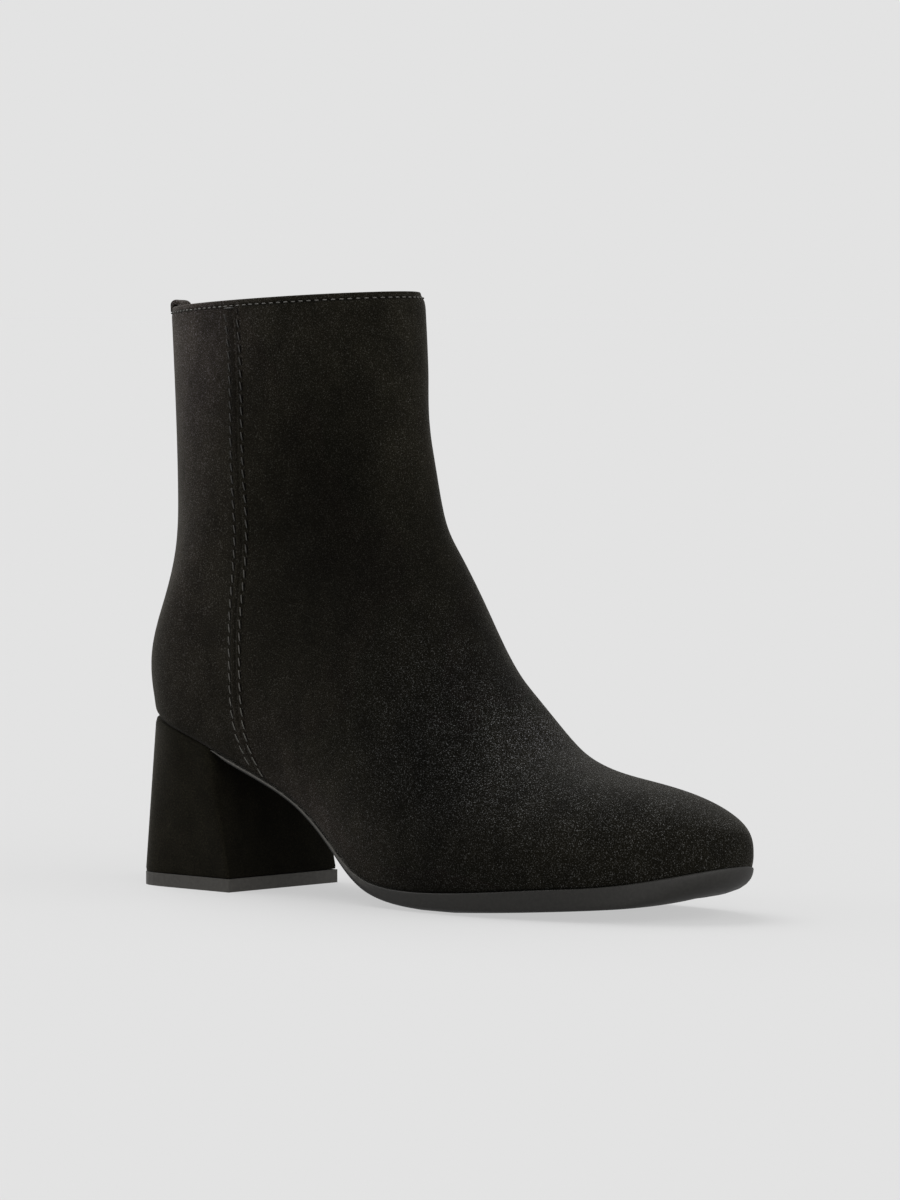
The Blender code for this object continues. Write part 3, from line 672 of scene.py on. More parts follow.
def paint_nap_lighting(made):
    """Paints the painted light and shade of the suede, and where its painted glints lie, on a piece of the
    upper.
    """
    places = np.empty(3 * len(made.data.vertices))
    made.data.vertices.foreach_get("co", places)
    x, _, z = (places.reshape(-1, 3) / MM + ORIGIN).T
    tone = np.ones(len(x))
    for spot in NAP_LIGHT_AND_SHADE.values():
        tone *= 1.0 + spot.change * bell(x - spot.x, spot.reach_x) * bell(z - spot.z, spot.reach_z)
    # painted glints towards the vamp and toe where the light falls, fewer towards the sole where shade lies
    specks = fade_in(x, *GLINT_SPAN) * fade_in(z, *GLINT_HEIGHTS)
    specks *= 1.0 - GLINT_SHADE * fade_in(z, *GLINT_SHADE_SPAN)
    paint(made.data, "nap", tone - 1.0)
    paint(made.data, "specks", GLINT_LEAST + (1.0 - GLINT_LEAST) * specks)


# Upper


def upper_stations():
    """Shares of the way for the rows of the foot, closer together where the ends round off."""
    toe_turn = np.linspace(np.pi / 2, 0.0, TOE_STATIONS, endpoint=False)
    toe = share_at(TOE_START + TOE_REACH * np.sin(toe_turn))
    foot = np.linspace(share_at(TOE_START), share_at(HEEL_START), FOOT_STATIONS, endpoint=False)
    heel_turn = np.linspace(0.0, np.pi / 2, HEEL_STATIONS, endpoint=False)
    heel = share_at(HEEL_START * (1.0 - np.sin(heel_turn)))
    return np.concatenate([toe, foot, heel])


def upper_grid():
    """The upper's outside from toe tip to just under the rim, its heel row, the rim and its way up."""
    foot = np.array([section_row(share) for share in upper_stations()])
    shaft = np.array([section_row(share) for share in np.linspace(HEEL_SHARE, 1.0, SHAFT_STEPS)])
    columns = []
    for line in np.swapaxes(shaft, 0, 1):
        along = way_along(line)
        steps = np.linspace(0.0, along[-1] - COLLAR_BAND, SHAFT_STATIONS, endpoint=False)
        steps = np.concatenate([steps, along[-1] - COLLAR_DEPTHS, along[-1:]])
        columns.append(points_at(steps, along, line))
    shaft = np.swapaxes(np.array(columns), 0, 1)
    rim = shaft[-1]
    return np.concatenate([foot, shaft[:-1]]), len(foot), rim, unit(rim - shaft[-2])


def wall_directions(grid, heel):
    """Outward directions on the upper's grid, level along the sole line."""
    down, around = np.gradient(grid, axis=0), np.gradient(grid, axis=1)
    normal = np.cross(down, around)
    normal[heel:, 0] = normal[heel:, -1] = np.cross(down[heel:, 0], grid[heel:, 1] - grid[heel:, -2])
    normal *= np.sign(normal[len(grid) // 2, grid.shape[1] // 2, 0])
    normal[0] = (1.0, 0.0, 0.0)
    normal[: heel + 1, (0, -1), 2] = 0.0
    return unit(normal)


def collar_tuck(depth, x):
    """How far the upper bends in below the rim, towards the front of the collar."""
    return TUCK * part_way(depth, TUCK_DEPTH, 0.0) ** 2 * fade_in(x, *TUCK_SPAN)


def make_upper(suede, lining):
    """Suede shell with its lining: the outside, a rounded rim, the inside and the lower edge."""
    outside, heel, rim, rising = upper_grid()
    out = wall_directions(outside, heel)
    collar, level, half = out[-COLLAR_ROWS:], out[-1], WALL / 2
    inside = outside - WALL * out
    shown = outside - edge_roll(outside)[..., None] * out
    shown[: heel + 1, (0, -1), 2] -= EDGE_DROP
    from_stitches = COLLAR_DEPTHS - COLLAR_STITCH_DEPTH
    drawn = COLLAR_FURROW.depth * bell(from_stitches, COLLAR_FURROW.width)
    drawn += RIM_IN * part_way(COLLAR_DEPTHS - half, RIM_ROUND, 0.0) ** 2
    shown[-COLLAR_ROWS:] -= drawn[:, None, None] * collar
    tucks = collar_tuck(COLLAR_DEPTHS[:, None] - half, outside[-COLLAR_ROWS:, :, 0])
    for wall in (shown, inside):
        wall[-COLLAR_ROWS:] -= tucks[..., None] * collar
    rim = rim - tucks[-1][:, None] * level
    turns = np.linspace(0.0, np.pi, RIM_STEPS + 2)[1:-1, None, None]
    reach = half - RIM_IN * (1.0 + np.cos(turns)) / 2
    loop = rim + level * (reach * np.cos(turns) - half) + rising * half * (np.sin(turns) - 1.0)
    grid = np.concatenate([shown, loop, inside[::-1]])
    total, columns = grid.shape[:2]
    rows = len(shown)
    faces = grid_faces(total, columns)
    finish_of = [0 if k // (columns - 1) < rows + RIM_STEPS else 1 for k in range(len(faces))]
    for column in (0, columns - 1):
        edge = [i * columns + column for i in range(heel + 1)]
        back = [(total - 1 - i) * columns + column for i in range(heel + 1)]
        faces += ladder_faces(edge, back)
        finish_of += [0] * heel
    # painted shade in the furrow along the collar's stitches and in the crevice above the sole
    shade = np.zeros((total, columns))
    shade[rows - COLLAR_ROWS : rows] = COLLAR_SHADE.depth * bell(from_stitches, COLLAR_SHADE.width)[:, None]
    shade[: heel + 1, (0, -1)] = EDGE_SHADE
    points, crease_shadings = grid.reshape(-1, 3), [("crease", shade.ravel())]
    made = add_object("upper_suede", points, faces, [suede, lining], "suede", ["upper"], finish_of, crease_shadings)
    paint_nap_lighting(made)
    return rim, rising, level


# Seams and stitches


def bilinear(grid, row, column):
    """Values of a grid at fractional rows and columns."""
    i = np.clip(np.floor(row).astype(int), 0, grid.shape[0] - 2)
    j = np.clip(np.floor(column).astype(int), 0, grid.shape[1] - 2)
    a, b = (row - i)[..., None], (column - j)[..., None]
    upper = grid[i, j] * (1 - b) + grid[i, j + 1] * b
    lower = grid[i + 1, j] * (1 - b) + grid[i + 1, j + 1] * b
    return upper * (1 - a) + lower * a


def seam_base(side):
    """The upper's outside under a side seam in rows, its outward directions and each row's way down."""
    route = natural_spline([-row.z for row in SEAM_ROUTE], [row.x for row in SEAM_ROUTE])
    z = np.linspace(SEAM_TOP, SEAM_ROUTE[-1].z, SEAM_STEPS)
    line = np.column_stack([route(-z), z])
    length = way_along(line)[-1]
    line = even_points(line, int(round(length / SEAM_ROW_STEP)) + 1)
    share = np.linspace(0.0, 1.0, len(line))
    tilt = SEAM_TOP_TILT * (1.0 - share) ** 3 + SEAM_END_TILT * share**3
    x = line[:, 0, None] + SEAM_ACROSS
    z = line[:, 1, None] + SEAM_ACROSS * tilt[:, None]
    z = np.maximum(z, CURVES.foot_z(share_at(x)) + SEAM_CLEARANCE)
    grid = side_points(x.ravel(), z.ravel(), side).reshape(*x.shape, 3)
    normal = unit(np.cross(np.gradient(grid, axis=0), np.gradient(grid, axis=1)))
    normal *= side * np.sign(normal[..., 1:2])
    return grid, normal, share * length


def row_across(row, down):
    """Where a row of stitches runs across the seam, at a way down it."""
    return row.across + row.flare * np.exp(-np.maximum(down - STITCH_FROM, 0.0) / FLARE_LENGTH)


def seam_height(across, down, length):
    """Height of a side seam over the upper, with its groove and holes, and its painted shade and painted
    highlight.
    """
    across, down = np.broadcast_arrays(across, down)
    from_middle = np.abs(across)
    groove = bell(across - GROOVE_AT, GROOVE.width)
    height = SEAM_RISE * fade_in(from_middle, *SEAM_SLOPE) - SEAM_SINK - GROOVE.depth * groove
    between = fade_in(from_middle, *BETWEEN_SPAN) * (1.0 - BETWEEN_SHADE_LOSS * fade_in(down, *BETWEEN_SHADE_LOSS_SPAN))
    crease = np.maximum(groove, BETWEEN_SHADE * between)
    sewn = down > STITCH_FROM - STITCH_LEAD
    for row in STITCH_ROWS:
        aside = across - row_across(row, down)
        phase = (down - STITCH_FROM) / STITCH_PITCH + row.phase
        hole = bell((phase - np.round(phase)) * STITCH_PITCH, PIT_LENGTH)
        pit = hole * bell(aside, PIT.width) * sewn
        furrow = bell(aside - FURROW_ASIDE, FURROW.width) * sewn
        height -= ROW_DENT.depth * bell(aside, ROW_DENT.width) + PIT.depth * pit + FURROW.depth * furrow
        height -= PILLOW.depth * (1.0 - hole) * bell(np.abs(aside) - PILLOW_ASIDE, PILLOW.width)
        crease = np.maximum(crease, np.maximum(pit, furrow))
    # painted highlight on the edges beside the groove, growing further down
    ridge_light = RIDGE_LIGHT * fade_in(down, *RIDGE_LIGHT_SPAN) * bell(from_middle - RIDGE_LIGHT_ASIDE, RIDGE_LIGHT_WIDTH)
    top_fade, end_fade = SEAM_END_FADES
    ends = fade_in(down, 0.0, top_fade) * fade_in(length - down, 0.0, end_fade)
    return (height + SEAM_SINK) * ends - SEAM_SINK, crease - ridge_light * (1.0 - crease)


def stitch_steps(stitch):
    return np.linspace(stitch.start, stitch.end, stitch.rings)


def stitch_arch(stitch):
    """Height of a thread along its stitch, with both ends drawn into the suede."""
    return stitch.radius * (stitch.top - stitch.drop * np.abs(2 * stitch_steps(stitch) - 1.0) ** 4)


def thread_tubes(path, out, stitch):
    """Points and faces of threads along paths of shape (stitch, ring, 3), thin at both ends."""
    along = unit(np.gradient(path, axis=1))
    aside = unit(np.cross(along, out))
    lift = np.cross(aside, along)
    taper = stitch.radius * np.sin(np.linspace(*THREAD_TAPER, stitch.rings) * np.pi) ** 0.5
    turn = np.linspace(0.0, 2 * np.pi, THREAD_SIDES, endpoint=False)
    ring = np.cos(turn)[:, None] * aside[:, :, None] + np.sin(turn)[:, None] * lift[:, :, None]
    points = (path[:, :, None] + taper[:, None, None] * ring).reshape(-1, 3)
    size = stitch.rings * THREAD_SIDES
    faces = []
    for start in range(0, len(points), size):
        faces += grid_faces(stitch.rings, THREAD_SIDES, start, closed=True)
        for end in (start, start + size - THREAD_SIDES):
            faces.append(tuple(range(end, end + THREAD_SIDES)))
    return points, faces


def make_seams(suede, thread):
    """Side seams as strips of suede over the upper, with two rows of stitches and a bar tack each."""
    strips, strip_faces, shades, paths, outs = [], [], [], [], []
    step = stitch_steps(SEAM_STITCH)
    for side in (OUTER, INNER):
        base, normal, down = seam_base(side)
        height, crease = seam_height(SEAM_ACROSS, down[:, None], down[-1])
        strip_faces += grid_faces(*base.shape[:2], sum(len(strip) for strip in strips))
        strips.append((base + (height - edge_roll(base))[..., None] * normal).reshape(-1, 3))
        shades.append(crease.ravel())
        for row in STITCH_ROWS:
            first = STITCH_FROM - row.phase * STITCH_PITCH
            starts = np.arange(first, down[-1] - STITCH_PITCH / 2, STITCH_PITCH)
            starts = starts[starts > STITCH_FROM - STITCH_LEAD]
            at = np.minimum(starts[:, None] + step * STITCH_PITCH, down[-1])
            sideways = row_across(row, at) + STITCH_SLANT * (step - 0.5)
            if row.across < 0.0:
                at = np.concatenate([at, np.full((1, len(step)), TACK_DOWN)])
                sideways = np.concatenate([sideways, np.linspace(*TACK_SPAN, len(step))[None]])
            where = at / down[-1] * (len(down) - 1)
            column = (sideways + SEAM_HALF) / (2 * SEAM_HALF) * (SEAM_COLUMNS - 1)
            place, out = bilinear(base, where, column), bilinear(normal, where, column)
            level = seam_height(sideways, at, down[-1])[0] - edge_roll(place)
            arch = level.mean(axis=1)[:, None] + stitch_arch(SEAM_STITCH)
            paths.append(place + arch[..., None] * out)
            outs.append(out)
    crease_shadings = [("crease", np.concatenate(shades))]
    strips = np.concatenate(strips)
    paint_nap_lighting(add_object("side_seams", strips, strip_faces, [suede], "suede", painted=crease_shadings))
    points, faces = thread_tubes(np.concatenate(paths), np.concatenate(outs), SEAM_STITCH)
    # painted highlight on the thread, lighter towards the heel
    rubbed = THREAD_HIGHLIGHT * fade_in(points[:, 2], *THREAD_HIGHLIGHT_SPAN)
    add_object("seam_stitches", points, faces, [thread], "suede", painted=[("rubbed", rubbed)])


def make_collar_stitches(rim, rising, level, thread):
    """Row of stitches round the collar."""
    bent = collar_tuck(0.0, rim[:, 0]) - collar_tuck(COLLAR_STITCH_DEPTH - WALL / 2, rim[:, 0])
    line = rim - rising * COLLAR_STITCH_DEPTH + bent[:, None] * level
    loop = way_along(line)
    count = int(round(loop[-1] / COLLAR_STITCH_PITCH))
    at = (np.arange(count)[:, None] + stitch_steps(COLLAR_STITCH)) * loop[-1] / count
    place, out = points_at(at, loop, line), points_at(at, loop, level)
    arch = stitch_arch(COLLAR_STITCH) - COLLAR_STITCH_SINK
    points, faces = thread_tubes(place + arch[:, None] * out, out, COLLAR_STITCH)
    # painted highlight on the collar's thread
    rubbed = np.full(len(points), COLLAR_THREAD_HIGHLIGHT)
    add_object("collar_stitches", points, faces, [thread], "suede", painted=[("rubbed", rubbed)])


# Sole and insole


def sole_line(x_from, toe_count, foot_count):
    """The sole line from x_from round the toe and back, outer side first, and its outward ways in plan."""
    toe = TOE_START + TOE_REACH * np.sin(np.linspace(0.0, np.pi / 2, toe_count))
    heel = HEEL_START * (1.0 - np.cos(np.linspace(0.0, np.pi / 2, toe_count, endpoint=False)))
    foot = np.linspace(max(x_from, HEEL_START), TOE_START, foot_count, endpoint=False)
    x = np.concatenate([heel, foot, toe]) if x_from < HEEL_START else np.concatenate([foot, toe])
    shares = share_at(x)
    round_off = toe_rounding(x) * heel_rounding(x)
    sides = []
    for side in (OUTER, INNER):
        half = half_widths(CURVES, side)[1](shares) * round_off
        sides.append(np.stack([x, swing(x) + side * half, CURVES.foot_z(shares)], axis=1))
    line = np.concatenate([sides[0], sides[1][-2::-1]])
    tangent = np.gradient(line[:, :2], axis=0)
    outward = np.stack([tangent[:, 1], -tangent[:, 0]], axis=1)
    if x_from <= 0.0:
        outward[[0, -1]] = (-1.0, 0.0)
    return line, unit(outward)


def sole_bottom(x, top):
    """Underside of the outsole: a thin waist, a flat tread and a toe that springs up."""
    flat_top = float(CURVES.foot_z(share_at(FLAT_START))) - GAP
    rows = WAIST_THICKNESS + (Thickness(FLAT_START, flat_top),)
    waist = top - np.interp(x, [row.x for row in rows], [row.depth for row in rows])
    into = part_way(x, FLAT_END, FOOT_LENGTH)
    spring = TOE_SPRING * into**SPRING_POWER + TIP_ROLL * into**TIP_POWER
    return np.where(x < FLAT_START, np.maximum(waist, 0.0), spring)


def across_sheet(edge, columns):
    """Grid across a sheet from its edge, which runs along one side, round an end and back along the other."""
    half = len(edge) // 2
    outer, inner = edge[: half + 1], edge[: half - 1 : -1]
    share = np.linspace(0.0, 1.0, columns)[None, :, None]
    return outer[:, None] * (1.0 - share) + inner[:, None] * share


def make_outsole(rubber):
    """Rubber sole with a rounded top edge and fine ribs across its tread."""
    line, outward = sole_line(SOLE_REAR, *SOLE_STATIONS)
    x, y, edge = line.T
    under, top = edge - GAP, edge - SOLE_TOP_GAP
    inner_roll = fade_in(x, *INNER_ROLL_SPAN) * fade_in(y - swing(x), 0.0, INNER_ROLL_WIDTH)
    bottom = sole_bottom(x, under) + INNER_ROLL * inner_roll
    depth = under - bottom
    full = SOLE_FADE_SHARE + (1.0 - SOLE_FADE_SHARE) * fade_in(x, SOLE_REAR, SOLE_REAR + SOLE_FADE)
    low = top - (top - bottom) * full
    square = fade_in(x, *SQUARE_SPAN)
    tip = np.maximum(fade_in(x, *TIP_SPAN), inner_roll)
    rings = []
    for row in SOLE_EDGE:
        inset = row.inset + TIP_SPREAD * tip * min(row.inset, TIP_ROUND)
        reach = (SOLE_MARGIN - TIP_TRIM * tip - inset * depth / depth.max()) * full
        plan = line[:, :2] + outward * reach[:, None]
        plan[[0, -1], 0] = SOLE_REAR
        share = row.ball + (row.side - row.ball) * square + (row.tip - row.side) * tip
        rings.append(np.column_stack([plan, low + (top - low) * share]))
    rings = np.array(rings)
    tread, cover = across_sheet(rings[-1], SOLE_COLUMNS), across_sheet(rings[0], SOLE_COLUMNS)
    edge_rise = across_sheet((rings[-1][:, 2] - bottom)[:, None], SOLE_COLUMNS)[..., 0]
    inward = np.minimum(*(np.linalg.norm(tread - tread[:, [k]], axis=2) for k in (0, -1)))
    tread[..., 2] -= edge_rise * fade_in(inward, 0.0, TREAD_REACH)
    wave = 0.5 + 0.5 * np.cos(2 * np.pi * tread[..., 0] / RIB_PITCH)
    ribs = (1.0 - fade_in(wave, *RIB_SIDES)) * fade_in(tread[..., 0], *RIB_SPAN)
    tread[..., 2] += RIB_DEPTH * ribs * fade_in(inward, 0.0, RIB_MARGIN)
    points, faces = slab(rings, [tread, cover])
    count = len(line)
    offset = len(rings) * count
    rear = [ring * count for ring in range(len(rings))] + [offset + j for j in range(1, SOLE_COLUMNS - 1)]
    rear += [ring * count + count - 1 for ring in range(len(rings) - 1, -1, -1)]
    rear += [offset + len(tread) * SOLE_COLUMNS + j for j in range(SOLE_COLUMNS - 2, 0, -1)]
    faces.append(tuple(rear))
    # painted highlight along the upper edge of the waist and painted shade below it
    levels = np.array([row.ball for row in SOLE_EDGE])
    rubbed = np.zeros(len(points))
    edge_light = WAIST_HIGHLIGHT + (WAIST_SHADE - WAIST_HIGHLIGHT) * fade_in(levels, *WAIST_LIGHT_LEVELS)
    rubbed[:offset] = np.outer(edge_light, fade_in(x, *WAIST_LIGHT_SPAN)).ravel()
    add_object("outsole_rubber", points, faces, [rubber], "rubber", ["outsole"], painted=[("rubbed", rubbed)])


def make_insole(finish):
    """Footbed between the walls, with a soft edge and a slight hollow along its middle."""
    line, outward = sole_line(0.0, *INSOLE_STATIONS)
    rings = []
    for reach, height in INSOLE_PROFILE:
        plan = line[:, :2] - outward * (WALL + INSOLE_CLEARANCE + reach * INSOLE_EDGE)
        rings.append(np.column_stack([plan, line[:, 2] + height * INSOLE_THICKNESS]))
    rings = np.array(rings)
    above, below = across_sheet(rings[-1], INSOLE_COLUMNS), across_sheet(rings[0], INSOLE_COLUMNS)
    above[..., 2] -= INSOLE_HOLLOW * np.sin(np.linspace(0.0, np.pi, INSOLE_COLUMNS)) ** 2
    add_object("insole_sock", *slab(rings, [above, below], closed=True), [finish], "insole", ["insole"])


# Heel


def heel_run(front, start, back):
    """Places from the front of the heel to its back, closer together where the back rounds off."""
    straight = np.linspace(front, start, HEEL_RUN_STEPS[0], endpoint=False)
    turn = np.linspace(0.0, np.pi / 2, HEEL_RUN_STEPS[1])
    return np.concatenate([straight, start - (start - back) * np.sin(turn)])


def heel_seat_side(side):
    """Edge of the heel seat from the breast to the back, at one side."""
    x = heel_run(HEEL_FRONT, HEEL_START, HEEL_SEAT_INSET)
    half = half_widths(CURVES, side)[1](share_at(x)) - HEEL_SEAT_INSET
    half *= rounding(HEEL_START - x, HEEL_START - HEEL_SEAT_INSET, HEEL_POWER)
    plan = even_points(np.column_stack([x, side * half]), HEEL_SIDE_POINTS)
    return np.column_stack([plan, CURVES.foot_z(share_at(plan[:, 0])) - GAP])


def lift_side(side):
    """Edge of the top lift from its front to its back, at one side."""
    x = heel_run(LIFT_FRONT, LIFT_ROUND_START, LIFT_BACK)
    half = np.interp(x, [LIFT_BACK, LIFT_FRONT], [LIFT_BACK_HALF, LIFT_FRONT_HALF])
    half *= rounding(LIFT_ROUND_START - x, LIFT_ROUND_START - LIFT_BACK, LIFT_POWER)
    plan = even_points(np.column_stack([x, LIFT_CENTRE_Y + side * half]), HEEL_SIDE_POINTS)
    return np.column_stack([plan, np.full(len(plan), LIFT_HEIGHT)])


def closed_outline(run, passes):
    """Outline from the outer front corner round the back to the inner one and across the breast, with the two
    front corners rounded by averaging their neighbours."""
    outer, inner = (run(side) for side in (OUTER, INNER))
    breast = np.linspace(0.0, 1.0, HEEL_BREAST_POINTS)[1:-1, None]
    loop = np.concatenate([outer, inner[-2::-1], inner[0] * (1.0 - breast) + outer[0] * breast])
    near = np.zeros(len(loop), bool)
    for corner in (0, 2 * HEEL_SIDE_POINTS - 2):
        reach = range(corner - HEEL_CORNER_REACH, corner + HEEL_CORNER_REACH + 1)
        near[[k % len(loop) for k in reach]] = True
    for _ in range(passes):
        middle = (np.roll(loop, 1, axis=0) + np.roll(loop, -1, axis=0)) / 2
        loop = np.where(near[:, None], (loop + middle) / 2, loop)
    return loop


def make_heel(suede):
    """Suede covered block heel, its front edges softened by the cover."""
    seat = closed_outline(heel_seat_side, HEEL_CORNER_PASSES[0])
    foot = closed_outline(lift_side, HEEL_CORNER_PASSES[1])
    shares = np.concatenate([np.linspace(0.0, HEEL_FOOT_SPAN[0], HEEL_LEVELS), HEEL_FOOT_LEVELS])
    drawn = HEEL_FOOT_DRAWN * fade_in(shares, *HEEL_FOOT_SPAN)
    drawn += HEEL_SEAT_DRAWN * fade_in(shares, *HEEL_SEAT_SPAN)
    rings = seat + (foot - seat) * shares[:, None, None]
    rings[..., :2] -= drawn[:, None, None] * unit(rings[..., :2] - foot[:, :2].mean(axis=0))
    count = len(seat)
    faces = grid_faces(len(rings), count, closed=True)
    half = HEEL_SIDE_POINTS - 1
    faces.append(tuple(range((len(rings) - 1) * count, len(rings) * count)))
    faces += ladder_faces(list(range(half + 1)), list(range(2 * half, half - 1, -1)))
    faces.append((0, *range(count - 1, 2 * half - 1, -1)))
    # painted light round the back of the heel and painted shade at the foot of its breast
    around = np.arange(count)
    nap = HEEL_BACK_LIGHT * bell(around - half, HEEL_BACK_LIGHT_REACH)
    nap = nap + BREAST_SHADE * np.outer(shares, around > 2 * half)
    painted = [("nap", nap.ravel())]
    add_object("heel_cover", rings.reshape(-1, 3), faces, [suede], "suede", ["heel_block"], painted=painted)


# Lap at the back of the collar


def lap_profile():
    """Section of the lap about the wall's middle: over its outside, then back round its inside."""
    outer, inner = WALL / 2 + LAP_GAP + LAP_LEG_THICKNESS, WALL / 2 + LAP_INNER_GAP
    rise = LAP_RISE - outer
    turn = np.linspace(0.0, np.pi, LAP_ARCH_STEPS)
    outer_arch = [(outer * np.cos(t), rise + outer * np.sin(t)) for t in turn]
    inner_arch = [(inner * np.cos(t), min(rise, 0.0) + inner * np.sin(t)) for t in turn[::-1]]
    leg = [(outer, -LAP_LEG + LAP_LEG_STEP), (outer, -LAP_LEG / 2)]
    far_leg = [(-reach, height) for reach, height in leg[::-1]]
    inside = [(-inner, -LAP_LEG), (-inner, -LAP_LEG / 2)]
    outside = [(inner, -LAP_LEG / 2), (inner, -LAP_LEG)]
    return np.array(leg + outer_arch + far_leg + inside + inner_arch + outside)


def make_collar_lap(suede):
    """Soft saddle of edge tape over the rim beside the back seam."""
    collar, lower = shaped_section(1.0), shaped_section(LAP_LEAN_SHARE)
    lean = (lower.foot_x - collar.foot_x) / (collar.foot_z - lower.foot_z)
    outer, inner = (section_side(collar, side, LAP_RIM_POINTS) for side in (OUTER, INNER))
    rim = np.concatenate([outer, inner[::-1]])
    back = rim[rim[:, 0] < (collar.foot_x + collar.ridge_x) / 2]
    back = back[np.argsort(back[:, 1])]
    levels = np.linspace(*LAP_ENDS_Y, LAP_STATIONS)
    base = points_at(levels, back[:, 1], back)
    run = points_at(levels, back[:, 1], np.gradient(back, axis=0))
    out = unit(np.column_stack([-run[:, 1], run[:, 0], np.zeros(LAP_STATIONS)]))
    profile = lap_profile()
    taper = 1.0 - LAP_TAPER * np.abs(np.linspace(-1.0, 1.0, LAP_STATIONS)) ** LAP_TAPER_POWER
    reach, height = (taper[:, None, None] * profile).transpose(2, 0, 1)
    points = base[:, None] + out[:, None] * (reach - WALL / 2)[..., None]
    points = (points + height[..., None] * np.array([-lean, 0.0, 1.0])).reshape(-1, 3)
    ring = len(profile)
    faces = grid_faces(LAP_STATIONS, ring, closed=True)
    faces += [tuple(range(ring)), tuple(range(len(points) - ring, len(points)))]
    paint_nap_lighting(add_object("collar_lap_suede", points, faces, [suede], "suede", ["collar_lap"]))


# Materials


def grey(value, tint=SUEDE_TINT):
    return tuple(value * part for part in tint)


def node_material(name, colour, roughness, specular):
    made = bpy.data.materials.new(name)
    made.use_nodes = True
    shader = made.node_tree.nodes["Principled BSDF"]
    shader.inputs["Base Color"].default_value = (*colour, 1.0)
    shader.inputs["Roughness"].default_value = roughness
    shader.inputs["Specular IOR Level"].default_value = specular
    return made, made.node_tree, shader


def add_node(tree, kind, settings=(), **inputs):
    """A shader node with its inputs set to values, or linked where an input is given a socket."""
    node = tree.nodes.new("ShaderNode" + kind)
    for name, value in settings:
        setattr(node, name, value)
    for name, value in inputs.items():
        if isinstance(value, bpy.types.NodeSocket):
            tree.links.new(value, node.inputs[name])
        else:
            node.inputs[name].default_value = value
    return node


def add_noise(tree, scale, detail, roughness, stretch=(1.0, 1.0, 1.0)):
    """Noise over the boot's own coordinates, as the socket of its value."""
    place = add_node(tree, "TexCoord").outputs["Object"]
    place = add_node(tree, "Mapping", Vector=place, Scale=stretch).outputs["Vector"]
    noise = add_node(tree, "TexNoise", Vector=place, Scale=scale, Detail=detail, Roughness=roughness)
    return noise.outputs["Fac"]


def add_ramp(tree, value, stops):
    """A colour ramp over a value, from (place, colour) stops."""
    ramp = add_node(tree, "ValToRGB", Fac=value)
    first, last = ramp.color_ramp.elements
    first.position, first.color = stops[0][0], (*stops[0][1], 1.0)
    last.position, last.color = stops[-1][0], (*stops[-1][1], 1.0)
    for place, colour in stops[1:-1]:
        ramp.color_ramp.elements.new(place).color = (*colour, 1.0)
    return ramp.outputs["Color"]


def blend(tree, kind, first, second, factor=1.0):
    """Two colours put together: mixed by a factor, or multiplied."""
    settings = (("data_type", "RGBA"), ("blend_type", kind))
    return add_node(tree, "Mix", settings, Factor=factor, A=first, B=second).outputs["Result"]


def add_painted(tree, name, scale=1.0, offset=1.0):
    """A painted value times a scale plus an offset; the offset alone where nothing is painted."""
    painted = add_node(tree, "Attribute", [("attribute_name", name)])
    line = add_node(tree, "Math", [("operation", "MULTIPLY_ADD")])
    tree.links.new(painted.outputs["Fac"], line.inputs[0])
    line.inputs[1].default_value = scale
    line.inputs[2].default_value = offset
    return line.outputs["Value"]


def add_bump(tree, shader, value, distance, strength):
    bump = add_node(tree, "Bump", Height=value, Distance=distance, Strength=strength)
    tree.links.new(bump.outputs["Normal"], shader.inputs["Normal"])


def make_suede(name, tone):
    """Black short-napped suede brushed in soft patches, with painted light and shade and painted glints."""
    made, tree, shader = node_material(name, grey(0.0044 * tone), roughness=1.0, specular=0.036)
    shader.inputs["Sheen Weight"].default_value = 0.075
    shader.inputs["Sheen Roughness"].default_value = 0.26
    shader.inputs["Sheen Tint"].default_value = (*SHEEN_TINT, 1.0)
    grain = add_noise(tree, scale=2600.0, detail=2.0, roughness=0.6)
    patches = add_noise(tree, scale=110.0, detail=3.0, roughness=0.55, stretch=(1.0, 1.0, 0.7))
    smooth = [(0.36, grey(0.0028 * tone)), (0.52, grey(0.0044 * tone)), (0.70, grey(0.0100 * tone))]
    # grain of dark and light fibres; its brightest stop is a painted glint, mixed in where glints are painted
    specks = [
        (0.42, grey(0.0015 * tone)),
        (0.54, grey(0.0030 * tone)),
        (0.61, grey(0.0135 * tone, FIBRE_TINT)),
        (0.70, grey(0.080 * tone, GLINT_TINT)),
    ]
    smooth, specks = add_ramp(tree, grain, smooth), add_ramp(tree, grain, specks)
    colour = blend(tree, "MIX", smooth, specks, add_painted(tree, "specks", offset=0.0))
    brushed = add_ramp(tree, patches, [(0.30, (0.76, 0.76, 0.76)), (0.70, (1.24, 1.24, 1.24))])
    # cooler tint, lighter and darker colour where painted light and shade lie over the suede, and painted
    # shade in its creases
    lighter = [(0.0, (1.0, 1.0, 1.0)), (1.0, (1.0, 0.94, 1.2))]
    cool = add_ramp(tree, add_painted(tree, "nap", scale=0.4, offset=0.0), lighter)
    nap, crease = add_painted(tree, "nap"), add_painted(tree, "crease", scale=-0.93)
    for part in (brushed, nap, cool, crease):
        colour = blend(tree, "MULTIPLY", colour, part)
    tree.links.new(colour, shader.inputs["Base Color"])
    add_bump(tree, shader, grain, distance=0.0003, strength=0.6)
    return made


def make_lining():
    made, tree, shader = node_material("lining_leather", (0.020, 0.018, 0.016), roughness=0.6, specular=0.3)
    grain = add_noise(tree, scale=700.0, detail=4.0, roughness=0.55)
    colour = add_ramp(tree, grain, [(0.3, (0.014, 0.013, 0.012)), (0.7, (0.026, 0.024, 0.021))])
    tree.links.new(colour, shader.inputs["Base Color"])
    add_bump(tree, shader, grain, distance=0.0003, strength=0.4)
    return made


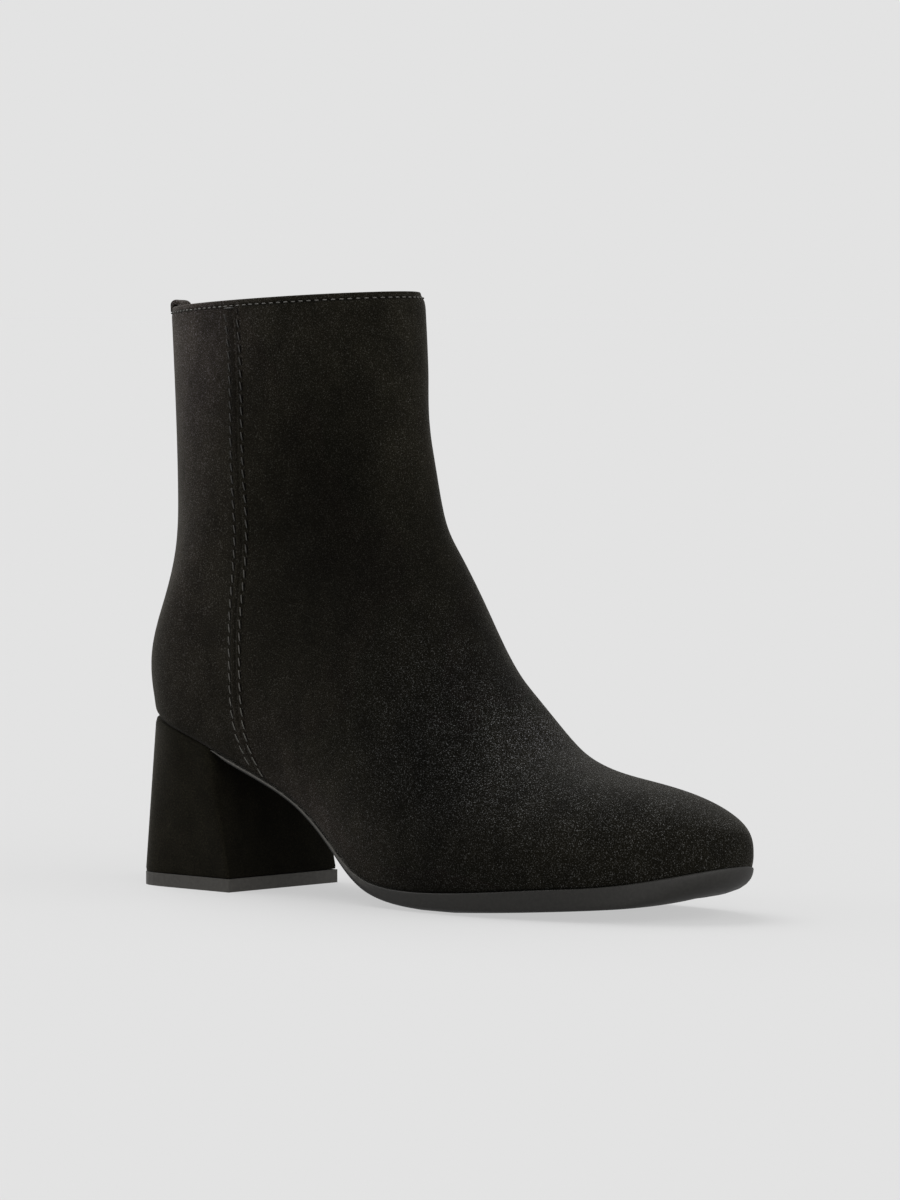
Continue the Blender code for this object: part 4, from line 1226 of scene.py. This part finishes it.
def make_thread():
    made, tree, shader = node_material("black_thread", grey(0.014), roughness=0.55, specular=0.25)
    twist = add_noise(tree, scale=2500.0, detail=2.0, roughness=0.5)
    colour = add_ramp(tree, twist, [(0.35, grey(0.009, THREAD_TINT)), (0.65, grey(0.021, THREAD_TINT))])
    # lighter where a painted highlight lies on the thread
    colour = blend(tree, "MULTIPLY", colour, add_painted(tree, "rubbed"))
    tree.links.new(colour, shader.inputs["Base Color"])
    return made


def make_rubber(name, tone):
    """Dull black rubber, with a painted highlight along its thin edge and painted shade below it."""
    plain = grey(0.0125 * tone, RUBBER_TINT)
    made, tree, shader = node_material(name, plain, roughness=0.62, specular=0.22)
    grain = add_noise(tree, scale=900.0, detail=3.0, roughness=0.5)
    stops = [(0.3, grey(0.0105 * tone, RUBBER_TINT)), (0.7, grey(0.0145 * tone, RUBBER_TINT))]
    # painted highlight and shade along the thin edge
    colour = blend(tree, "MULTIPLY", add_ramp(tree, grain, stops), add_painted(tree, "rubbed"))
    tree.links.new(colour, shader.inputs["Base Color"])
    add_bump(tree, shader, grain, distance=0.0001, strength=0.2)
    return made


# Stage


def make_camera():
    camera = add_to_scene("camera", bpy.data.cameras.new("camera"))
    camera.location = [MM * value for value in np.array(CAMERA_AT) - ORIGIN]
    camera.rotation_euler = (np.radians(90.0 - CAMERA_PITCH), 0.0, np.radians(CAMERA_TURN))
    camera.data.lens = CAMERA_LENS
    camera.data.sensor_width = CAMERA_SENSOR
    camera.data.clip_end = CAMERA_REACH
    bpy.context.scene.camera = camera


def make_lights():
    """Soft studio light, and how strongly it falls on the floor."""
    falling = 0.0
    for row in LIGHTS:
        lamp = bpy.data.lights.new(row.name, "SUN")
        lamp.energy = row.power
        lamp.angle = np.radians(row.spread)
        made = add_to_scene(row.name, lamp)
        turn, height = np.radians(CAMERA_TURN + row.bearing), np.radians(row.height)
        towards = Vector((np.sin(turn) * np.cos(height), -np.cos(turn) * np.cos(height), np.sin(height)))
        made.rotation_mode = "QUATERNION"
        made.rotation_quaternion = towards.to_track_quat("Z", "Y")
        falling += row.power * np.sin(height) / np.pi
    world = bpy.data.worlds.new("studio")
    bpy.context.scene.world = world
    world.use_nodes = True
    ground = world.node_tree.nodes["Background"]
    ground.inputs["Color"].default_value = (1.0, 1.0, 1.0, 1.0)
    ground.inputs["Strength"].default_value = BACKDROP
    return falling


def make_floor(falling):
    """Pale floor that is as bright as the ground behind it."""
    mesh = bpy.data.meshes.new("floor")
    corners = [(FLOOR_HALF * x, FLOOR_HALF * y, 0.0) for x, y in ((-1, -1), (1, -1), (1, 1), (-1, 1))]
    mesh.from_pydata(corners, [], [(0, 1, 2, 3)])
    floor = add_to_scene("floor", mesh)
    finish, _, shader = node_material("pale_floor", (FLOOR_ALBEDO,) * 3, roughness=1.0, specular=0.0)
    shader.inputs["Emission Color"].default_value = (1.0, 1.0, 1.0, 1.0)
    shader.inputs["Emission Strength"].default_value = BACKDROP - FLOOR_ALBEDO * (BACKDROP + falling)
    mesh.materials.append(finish)


def main():
    bpy.context.scene.view_settings.view_transform = "Standard"
    make_camera()
    make_floor(make_lights())
    suede = make_suede("black_suede", UPPER_TONE)
    rubber = make_rubber("black_rubber", SOLE_TONE)
    lining = make_lining()
    thread = make_thread()
    rim, rising, level = make_upper(suede, lining)
    make_seams(suede, thread)
    make_collar_stitches(rim, rising, level, thread)
    make_outsole(rubber)
    make_insole(lining)
    make_heel(make_suede("heel_suede", HEEL_LIT_TONE))
    make_collar_lap(suede)
    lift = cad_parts["top_lift"].data
    lift.materials.clear()
    lift.materials.append(make_rubber("lift_rubber", LIFT_TONE))


main()
